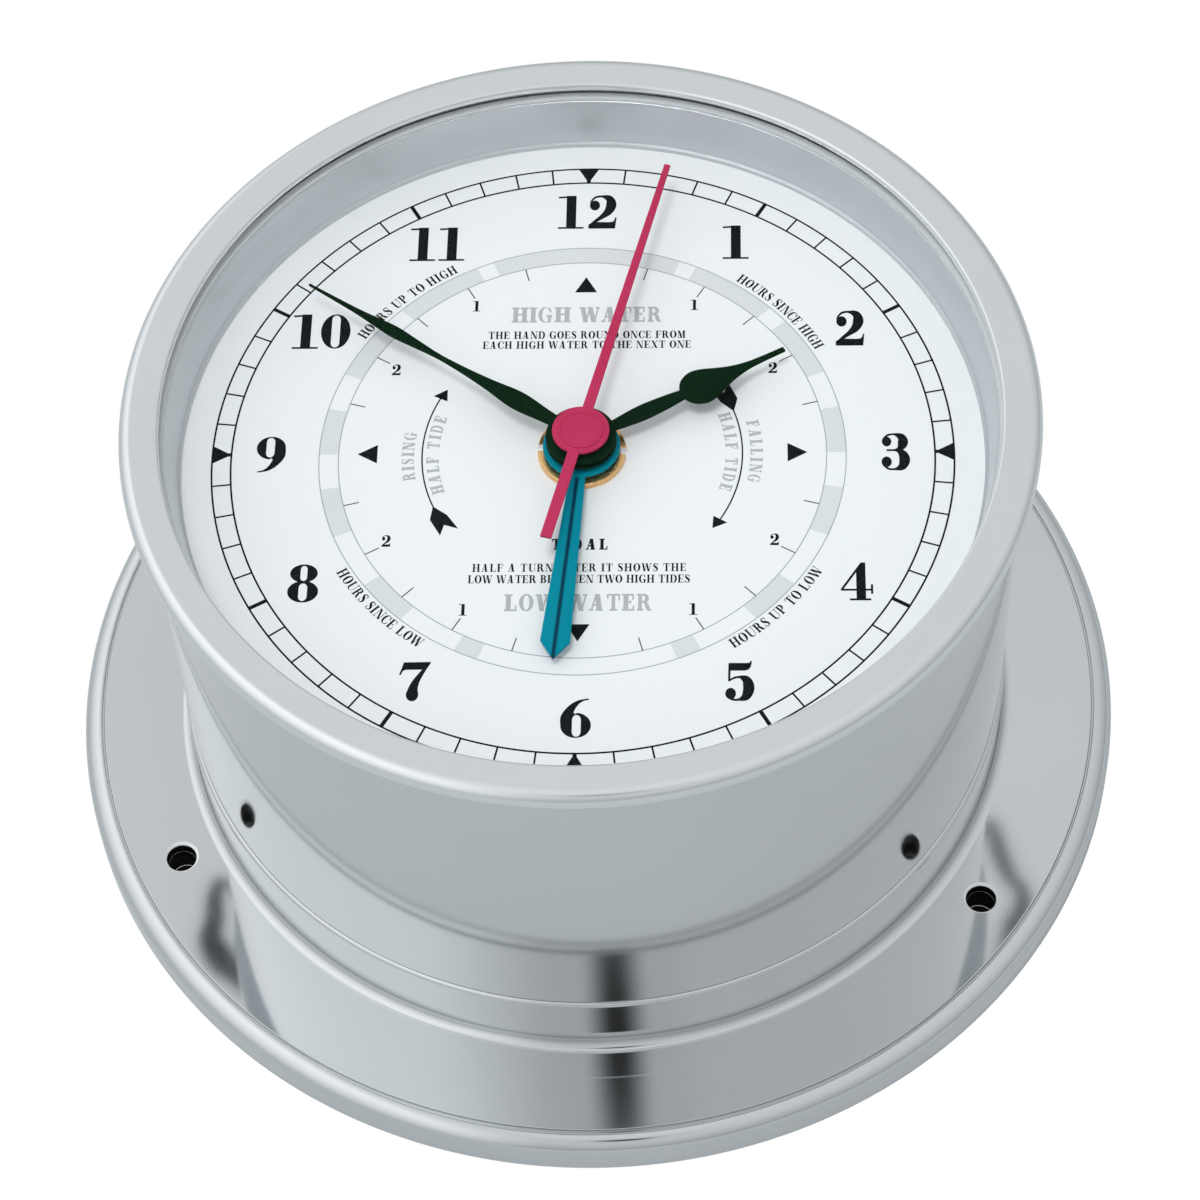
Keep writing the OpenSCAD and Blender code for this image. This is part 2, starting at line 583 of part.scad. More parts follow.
module tide_wheel() {
    color([0.92, 0.90, 0.84]) bored(HOUR_TUBE_R + RUN, TIDE_LEVEL, TIDE_Z + 1) {
        translate([0, 0, TIDE_LEVEL]) toothed(TIDE_N, TIDE_M, WHEEL_T, TIDE_TURN);
        rod(TIDE_TUBE_R, TIDE_LEVEL, TIDE_Z + hand_t);
    }
}
module minute_hand() {
    color([0.04, 0.14, 0.09]) hand(minute_at, MINUTE_Z, 4.7, CANNON_R)
        polygon(both_sides(concat([[0, 0.8]], curve(MINUTE_SHAPE, 4), [[minute_len, 0.12]])));
}
module hour_hand() {
    color([0.04, 0.14, 0.09]) hand(hour_at, HOUR_Z, 4.7, HOUR_TUBE_R) {
        polygon(both_sides(concat([[0, 0.6]], curve(HOUR_STEM, 4), [[15.6, 0.72]])));
        polygon(both_sides(concat(curve(HOUR_HEART, 4), [[hour_len, 0.34]])));
    }
}
module tide_hand() {
    widest = tide_len - 2.7;
    color([0.0, 0.50, 0.58]) hand(tide_at, TIDE_Z, 5.15, TIDE_TUBE_R)
        polygon([[-0.9, 0], [0.9, 0], [1.94, widest], [0, tide_len], [-1.94, widest]]);
}

// ---- Setting ----
module setting_arbor() {
    color([0.92, 0.90, 0.84]) place(SETTING_AT, 0) {
        translate([0, 0, CANNON_LEVEL]) toothed(SETTING_N, WORK_M, WHEEL_T, SETTING_TURN);
        rod(1, MOVE_BOTTOM - 1, CANNON_LEVEL);
        rod(0.6, CANNON_LEVEL, CANNON_LEVEL + WHEEL_T + 2);
    }
}
module setting_knob() {
    ribs = 24;
    height = 4;
    z = MOVE_BOTTOM - 0.4 - height;
    color([0.85, 0.85, 0.83]) place(SETTING_AT, 0) difference() {
        translate([0, 0, z]) linear_extrude(height) polygon([for (i = [0:ribs - 1])
            for (c = [[3.7, 0.05], [4, 0.2], [4, 0.8], [3.7, 0.95]]) polar(c[0], (i + c[1]) * 360 / ribs)]);
        rod(1, MOVE_BOTTOM - 1, MOVE_BOTTOM + 1);
    }
}

base_flange();
base_collar();
case_drum();
bayonet_lugs();
bezel_ring();
glass_lens();
glass_gasket();
reflector_ring();
dial_plate();
rubber_washer();
threaded_bush();
bush_nut();
movement_front_case();
movement_rear_cover();
train_plate();
stator();
coil_bobbin();
coil_winding();
circuit_board();
clock_chip();
quartz_crystal();
battery();
battery_contact_plus();
battery_contact_minus();
rotor_pinion();
rotor_magnet();
intermediate_wheel();
second_wheel();
second_arbor();
second_hand();
third_wheel();
centre_wheel();
clutch_washer();
cannon_pinion();
minute_hand();
minute_work_wheel();
hour_wheel();
hour_hand();
tide_idler();
tide_wheel();
tide_hand();
setting_arbor();
setting_knob();
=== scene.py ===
"""Looks of a ship's deck clock: a chrome drum on a wall flange, with a printed dial under glass.

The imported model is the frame. Its visible pieces are made again here at the same sizes, with
rounded edges, printing and finishes. All sizes are millimetres until a mesh is made.
"""

import json
from math import asin, atan2, ceil, cos, degrees, hypot, pi, radians, sin, tan

import bmesh
import bpy
from mathutils import Matrix, Vector
from mathutils.geometry import delaunay_2d_cdt


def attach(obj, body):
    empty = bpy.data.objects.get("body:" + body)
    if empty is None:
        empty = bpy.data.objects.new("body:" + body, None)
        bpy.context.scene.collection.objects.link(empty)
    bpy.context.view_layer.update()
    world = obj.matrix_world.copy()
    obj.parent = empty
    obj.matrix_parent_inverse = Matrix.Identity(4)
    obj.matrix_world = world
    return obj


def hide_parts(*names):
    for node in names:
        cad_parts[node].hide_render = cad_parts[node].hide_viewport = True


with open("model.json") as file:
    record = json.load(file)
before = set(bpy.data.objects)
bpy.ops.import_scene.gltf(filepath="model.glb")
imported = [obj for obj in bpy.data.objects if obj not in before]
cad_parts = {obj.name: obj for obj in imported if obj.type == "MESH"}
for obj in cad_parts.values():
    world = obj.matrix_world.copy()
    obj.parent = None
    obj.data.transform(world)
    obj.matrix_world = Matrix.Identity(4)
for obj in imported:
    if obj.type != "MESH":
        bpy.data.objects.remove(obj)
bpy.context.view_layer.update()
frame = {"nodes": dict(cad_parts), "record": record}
nodes = frame["nodes"]
scene = bpy.context.scene

MM = 0.001

# ---------------------------------------------------------------- sizes shared by several pieces
FLANGE_R = 75
FLANGE_T = 6
JOINT_Z = 17
COLLAR_R = 58.9
SPIGOT_R = 56.3
SPIGOT_IN = 54.7
SPIGOT_TOP = 26
DRUM_R = 58.5
DRUM_IN = 56.6
NECK_R = 57.4
BEZEL_R = 60.6
OPENING_R = 55.3
CASE_TOP = 74
BEZEL_LOW = 71.6
GLASS_R = 56.2
GLASS_TOP = 72.9
GLASS_LOW = 71.1
DIAL_Z = 62.5
DIAL_BACK = 61.5
TIDE_Z, HOUR_Z, MINUTE_Z, SECOND_Z = 64.0, 65.2, 66.2, 67.4
HAND_T = 0.4
SECOND_AT, MINUTE_AT, HOUR_AT, TIDE_AT = 13.7, 304.5, 60.9, 185.1
LUG_AT = (30, 150, 270)
TWIST = 25
HOLE_TURN, HOLE_RING, HOLE_R = 86.6, 65.5, 2.1
HOLES = [(HOLE_RING * cos(a), HOLE_RING * sin(a)) for a in (radians(HOLE_TURN + 120 * k) for k in range(3))]


# ---------------------------------------------------------------- node helpers
def add(tree, kind, **settings):
    """A new node in the tree, with its own settings and its inputs given by name or number."""
    node = tree.nodes.new(kind)
    inputs = settings.pop("inputs", {})
    for key, value in settings.items():
        setattr(node, key, value)
    for key, value in inputs.items():
        if isinstance(value, bpy.types.NodeSocket):
            tree.links.new(value, node.inputs[key])
        else:
            node.inputs[key].default_value = value
    return node


def math_node(tree, operation, a, b=None):
    inputs = {0: a} if b is None else {0: a, 1: b}
    return add(tree, "ShaderNodeMath", operation=operation, inputs=inputs).outputs[0]


def plus(tree, a, b):
    return math_node(tree, "ADD", a, b)


def minus(tree, a, b):
    return math_node(tree, "SUBTRACT", a, b)


def times(tree, a, b):
    return math_node(tree, "MULTIPLY", a, b)


def over(tree, a, b):
    return math_node(tree, "DIVIDE", a, b)


def xyz(tree, vector):
    return add(tree, "ShaderNodeSeparateXYZ", inputs={0: vector}).outputs


def object_place(tree):
    return add(tree, "ShaderNodeTexCoord").outputs["Object"]


def with_values(node, **values):
    """Sets the node's own sockets, named with _ for a space."""
    for label, value in values.items():
        node.inputs[label.replace("_", " ")].default_value = value
    return node


def new_group(name, kind, inputs, outputs):
    """An empty node group with named sockets. inputs and outputs are (name, socket type, default)."""
    tree = bpy.data.node_groups.new(name, kind)
    for in_out, rows in (("INPUT", inputs), ("OUTPUT", outputs)):
        for label, socket, default in rows:
            item = tree.interface.new_socket(label, in_out=in_out, socket_type="NodeSocket" + socket)
            if default is not None:
                item.default_value = default
    return tree, tree.nodes.new("NodeGroupInput"), tree.nodes.new("NodeGroupOutput")


# ---------------------------------------------------------------- Geometry Nodes trees
def end_tree(tree, start, end, geometry):
    """Ends the tree: its geometry is made real and takes its finish."""
    plain = add(tree, "GeometryNodeRealizeInstances", inputs={0: geometry})
    done = add(tree, "GeometryNodeSetMaterial",
               inputs={"Geometry": plain.outputs[0], "Material": start.outputs["Finish"]})
    tree.links.new(done.outputs[0], end.inputs[0])
    return tree


def turned_tree():
    """Turns the profile's points about the Z axis. The profile is a chain of points in X and Z."""
    tree, start, end = new_group(
        "turned_profile", "GeometryNodeTree",
        [("Profile", "Geometry", None), ("Segments", "Int", 64), ("Finish", "Material", None)],
        [("Geometry", "Geometry", None)])
    size = add(tree, "GeometryNodeAttributeDomainSize", inputs={0: start.outputs["Profile"]})
    points = size.outputs["Point Count"]
    rings = plus(tree, start.outputs["Segments"], 1)
    grid = add(tree, "GeometryNodeMeshGrid", inputs={"Vertices X": rings, "Vertices Y": points})
    index = add(tree, "GeometryNodeInputIndex").outputs[0]
    turn = math_node(tree, "FLOOR", over(tree, plus(tree, index, 0.5), points))
    step = minus(tree, index, times(tree, turn, points))
    place = add(tree, "GeometryNodeInputPosition").outputs[0]
    sample = add(tree, "GeometryNodeSampleIndex", data_type="FLOAT_VECTOR",
                 inputs={"Geometry": start.outputs["Profile"], "Value": place, "Index": step})
    radius, _, height = xyz(tree, sample.outputs[0])
    angle = over(tree, times(tree, turn, 2 * pi), start.outputs["Segments"])
    x = times(tree, radius, math_node(tree, "COSINE", angle))
    y = times(tree, radius, math_node(tree, "SINE", angle))
    spot = add(tree, "ShaderNodeCombineXYZ", inputs={0: x, 1: y, 2: height})
    moved = add(tree, "GeometryNodeSetPosition",
                inputs={"Geometry": grid.outputs[0], "Position": spot.outputs[0]})
    closed = add(tree, "GeometryNodeMergeByDistance", inputs={"Geometry": moved.outputs[0], "Distance": 1e-6})
    return end_tree(tree, start, end, closed.outputs[0])


def round_row_tree():
    """Repeats a mark round the Z axis, clockwise from its own place."""
    tree, start, end = new_group(
        "row_round_axis", "GeometryNodeTree",
        [("Mark", "Geometry", None), ("Count", "Int", 4), ("First", "Float", 0.0), ("Step", "Float", 1.0),
         ("Finish", "Material", None)],
        [("Geometry", "Geometry", None)])
    line = add(tree, "GeometryNodeMeshLine", inputs={"Count": start.outputs["Count"], "Offset": (0, 0, 0)})
    index = add(tree, "GeometryNodeInputIndex").outputs[0]
    angle = plus(tree, start.outputs["First"], times(tree, index, start.outputs["Step"]))
    turn = add(tree, "ShaderNodeCombineXYZ", inputs={2: times(tree, angle, -1.0)})
    spin = add(tree, "FunctionNodeEulerToRotation", inputs={0: turn.outputs[0]})
    marks = add(tree, "GeometryNodeInstanceOnPoints", inputs={
        "Points": line.outputs[0], "Instance": start.outputs["Mark"], "Rotation": spin.outputs[0]})
    return end_tree(tree, start, end, marks.outputs[0])


TURNED = turned_tree()
ROUND_ROW = round_row_tree()


# ---------------------------------------------------------------- mesh helpers
def link(name, data):
    made = bpy.data.objects.new(name, data)
    scene.collection.objects.link(made)
    return made


def mesh_of(name, verts, faces=(), edges=()):
    mesh = bpy.data.meshes.new(name)
    mesh.from_pydata([tuple(v) for v in verts], list(edges), list(faces))
    return mesh


def from_work(name, work, finish=None):
    """The bmesh as an object of its own."""
    mesh = bpy.data.meshes.new(name)
    work.to_mesh(mesh)
    work.free()
    if finish:
        mesh.materials.append(finish)
    return link(name, mesh)


def applied(made):
    """The object with its modifiers made into its own plain mesh."""
    graph = bpy.context.evaluated_depsgraph_get()
    plain = bpy.data.meshes.new_from_object(made.evaluated_get(graph))
    made.modifiers.clear()
    old, made.data = made.data, plain
    plain.name = made.name
    bpy.data.meshes.remove(old)
    return made


def with_tree(made, tree, **values):
    """Runs a Geometry Nodes tree on the object and keeps its result as a plain mesh."""
    modifier = made.modifiers.new(tree.name, "NODES")
    modifier.node_group = tree
    sockets = {s.name: s.identifier for s in tree.interface.items_tree if s.in_out == "INPUT"}
    for label, value in values.items():
        modifier[sockets[label]] = value
    return applied(made)


def smooth(made, sharp=32):
    """Normals outwards, and shading smooth except at corners sharper than the given angle."""
    work = bmesh.new()
    work.from_mesh(made.data)
    bmesh.ops.remove_doubles(work, verts=work.verts, dist=1e-7)
    bmesh.ops.dissolve_degenerate(work, edges=work.edges, dist=1e-8)
    bmesh.ops.recalc_face_normals(work, faces=work.faces)
    for face in work.faces:
        face.smooth = True
    work.to_mesh(made.data)
    work.free()
    made.data.set_sharp_from_angle(angle=radians(sharp))
    return made


def rounded(corners, steps=6, edge=0.06):
    """The outline through (x, y, corner radius), each round corner kept between two close points."""
    out = []
    for i, (x, y, radius) in enumerate(corners):
        corner = Vector((x, y))
        if radius <= 0:
            out.append(corner)
            continue
        before = (Vector(corners[i - 1][:2]) - corner).normalized()
        after = (Vector(corners[(i + 1) % len(corners)][:2]) - corner).normalized()
        half = before.angle(after) / 2
        reach = radius / tan(half)
        centre = corner + (before + after).normalized() * radius / sin(half)
        a, b = corner + before * reach - centre, corner + after * reach - centre
        first = atan2(a.y, a.x)
        sweep = (atan2(b.y, b.x) - first + pi) % (2 * pi) - pi
        out.append(corner + before * (reach + edge))
        for k in range(steps + 1):
            t = first + sweep * k / steps
            out.append(centre + radius * Vector((cos(t), sin(t))))
        out.append(corner + after * (reach + edge))
    return out


def turned(name, corners, finish, steps=6, segments=288):
    """A piece turned about the Z axis from a closed profile of (radius, height, corner radius)."""
    loop = rounded(corners, steps)
    loop.append(loop[0])
    points = [(p.x * MM, 0, p.y * MM) for p in loop]
    made = link(name, mesh_of(name, points, edges=[(i, i + 1) for i in range(len(points) - 1)]))
    with_tree(made, TURNED, Segments=segments, Finish=finish)
    return smooth(made)


def cut(made, *cutters):
    """Takes the cutters out of the piece."""
    for cutter in cutters:
        modifier = made.modifiers.new("cut", "BOOLEAN")
        modifier.operation = "DIFFERENCE"
        modifier.solver = "EXACT"
        modifier.object = cutter
        applied(made)
        bpy.data.objects.remove(cutter)
    return smooth(made)


def cylinder_cutter(profile, at, segments=64):
    """A round solid from (radius, height) points, upright at that place and closed at both ends."""
    rings = [[(at[0] + r * cos(2 * pi * k / segments), at[1] + r * sin(2 * pi * k / segments), z)
              for k in range(segments)] for r, z in profile]
    verts = [Vector(v) * MM for ring in rings for v in ring]
    last = (len(rings) - 1) * segments
    faces = [tuple(range(segments))[::-1], tuple(range(last, last + segments))]
    for i in range(0, last, segments):
        for k in range(segments):
            n = (k + 1) % segments
            faces.append((i + k, i + n, i + segments + n, i + segments + k))
    return link("cutter", mesh_of("cutter", verts, faces))


def curved_cutter(r_in, r_out, z_low, z_high, a_from, a_to, steps=24):
    """A box bent round the Z axis."""
    verts, faces = [], []
    for k in range(steps + 1):
        t = radians(a_from + (a_to - a_from) * k / steps)
        for r, z in ((r_in, z_low), (r_out, z_low), (r_out, z_high), (r_in, z_high)):
            verts.append(Vector((r * cos(t), r * sin(t), z)) * MM)
    for k in range(steps):
        a, b = 4 * k, 4 * k + 4
        for i in range(4):
            j = (i + 1) % 4
            faces.append((a + i, a + j, b + j, b + i))
    faces += [(3, 2, 1, 0), tuple(4 * steps + i for i in range(4))]
    return smooth(link("cutter", mesh_of("cutter", verts, faces)))


def spin_at(clock_angle):
    """The turn that takes 12 o'clock to this clock angle."""
    return Matrix.Rotation(-radians(clock_angle), 4, "Z")


def softened(node, name, width, segments=3, sharp=35):
    """A copy of a CAD node with its hard edges rounded."""
    mesh = nodes[node].data.copy()
    made = link(name, mesh)
    mesh.materials.clear()
    work = bmesh.new()
    work.from_mesh(mesh)
    bmesh.ops.remove_doubles(work, verts=work.verts, dist=2e-7)
    bmesh.ops.dissolve_limit(work, angle_limit=radians(1), verts=work.verts, edges=work.edges)
    hard = [e for e in work.edges if len(e.link_faces) == 2 and e.calc_face_angle(0) > radians(sharp)]
    bmesh.ops.bevel(work, geom=hard, offset=width * MM, segments=segments, profile=0.5,
                    affect="EDGES", clamp_overlap=True)
    bmesh.ops.triangulate(work, faces=[f for f in work.faces if len(f.verts) > 4])
    work.to_mesh(mesh)
    work.free()
    smooth(made, sharp)
    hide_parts(node)
    return made


# ---------------------------------------------------------------- flat shapes and printing
def inside(point, loop):
    """Whether the point lies within the closed outline."""
    x, y = point
    hit = False
    for i in range(len(loop)):
        (x1, y1), (x2, y2) = loop[i - 1], loop[i]
        if (y1 > y) != (y2 > y) and x < x1 + (y - y1) * (x2 - x1) / (y2 - y1):
            hit = not hit
    return hit


def flat_cells(layers):
    """Triangles of a flat shape painted from layers (+1 or -1, outline), each over those before it."""
    verts, edges, boxes = [], [], []
    for _, loop in layers:
        base = len(verts)
        verts += [Vector(p) for p in loop]
        edges += [(base + i, base + (i + 1) % len(loop)) for i in range(len(loop))]
        xs, ys = [p[0] for p in loop], [p[1] for p in loop]
        boxes.append((min(xs), min(ys), max(xs), max(ys)))
    points, _, cells = delaunay_2d_cdt(verts, edges, [], 0, 1e-5)[:3]
    kept = []
    for cell in cells:
        x = sum(points[i][0] for i in cell) / 3
        y = sum(points[i][1] for i in cell) / 3
        ink = -1
        for (sign, loop), box in zip(layers, boxes):
            if box[0] < x < box[2] and box[1] < y < box[3] and inside((x, y), loop):
                ink = sign
        if ink > 0:
            kept.append(cell)
    return points, kept


def slab(points, cells, low, high, bevel=0.0):
    """A bmesh of the flat shape with that thickness, and its top and bottom edges bevelled."""
    work = bmesh.new()
    spots = {}
    for cell in cells:
        for i in cell:
            if i not in spots:
                spots[i] = work.verts.new((points[i][0] * MM, points[i][1] * MM, low * MM))
        work.faces.new([spots[i] for i in cell])
    bmesh.ops.recalc_face_normals(work, faces=work.faces)
    top = bmesh.ops.extrude_face_region(work, geom=work.faces[:])
    bmesh.ops.translate(work, vec=(0, 0, (high - low) * MM),
                        verts=[v for v in top["geom"] if isinstance(v, bmesh.types.BMVert)])
    bmesh.ops.recalc_face_normals(work, faces=work.faces)
    if bevel:
        bmesh.ops.dissolve_limit(work, angle_limit=radians(0.5), verts=work.verts, edges=work.edges)
        rim = [e for e in work.edges if len(e.link_faces) == 2 and e.calc_face_angle(0) > radians(80)
               and abs(e.verts[0].co.z - e.verts[1].co.z) < 1e-8]
        bmesh.ops.bevel(work, geom=rim, offset=bevel * MM, segments=2, profile=0.5,
                        affect="EDGES", clamp_overlap=True)
        bmesh.ops.triangulate(work, faces=[f for f in work.faces if len(f.verts) > 4])
    return work


def sheet_hand(name, layers, low, finish, clock, bevel=0.05):
    """A hand cut from sheet, with softened edges, turned to its clock angle."""
    made = from_work(name, slab(*flat_cells(layers), low, low + HAND_T, bevel), finish)
    made.data.transform(spin_at(clock))
    return smooth(made)


def circle(x, y, r, steps=48):
    return ellipse(x, y, r, r, steps)


def ellipse(x, y, rx, ry, steps=40):
    return [(x + rx * cos(2 * pi * k / steps), y + ry * sin(2 * pi * k / steps)) for k in range(steps)]


def bar(x0, y0, x1, y1):
    return [(x0, y0), (x1, y0), (x1, y1), (x0, y1)]


def curve(points, steps=4):
    """Points on a smooth curve through all the given ones, the last included."""
    out = []
    for i in range(len(points) - 1):
        a, b = points[max(i - 1, 0)], points[i]
        c, d = points[i + 1], points[min(i + 2, len(points) - 1)]
        for k in range(steps):
            t = k / steps
            out.append(tuple(
                0.5 * (2 * q + (r - p) * t + (2 * p - 5 * q + 4 * r - s) * t * t
                       + (3 * q - p - 3 * r + s) * t ** 3)
                for p, q, r, s in zip(a, b, c, d)))
    out.append(tuple(points[-1]))
    return out


def both_sides(side):
    """Closed outline of a hand from (distance from the axis, half width)."""
    return [(w, y) for y, w in side] + [(-w, y) for y, w in reversed(side)]


# ---------------------------------------------------------------- letters and numerals
def brush(points, steps=5):
    """Outline of a stroke along (x, y, half width) points."""
    path = curve(points, steps)
    left, right = [], []
    for i, (x, y, w) in enumerate(path):
        ax, ay, _ = path[max(i - 1, 0)]
        bx, by, _ = path[min(i + 1, len(path) - 1)]
        size = hypot(bx - ax, by - ay)
        nx, ny = -(by - ay) / size, (bx - ax) / size
        left.append((x + nx * w, y + ny * w))
        right.append((x - nx * w, y - ny * w))
    return left + right[::-1]


def slot_shape(x, y0, y1, w, steps=10):
    """Upright opening with round ends."""
    top = [(x + w * cos(pi * k / steps), y1 - w + w * sin(pi * k / steps)) for k in range(steps + 1)]
    low = [(x - w * cos(pi * k / steps), y0 + w - w * sin(pi * k / steps)) for k in range(steps + 1)]
    return top + low


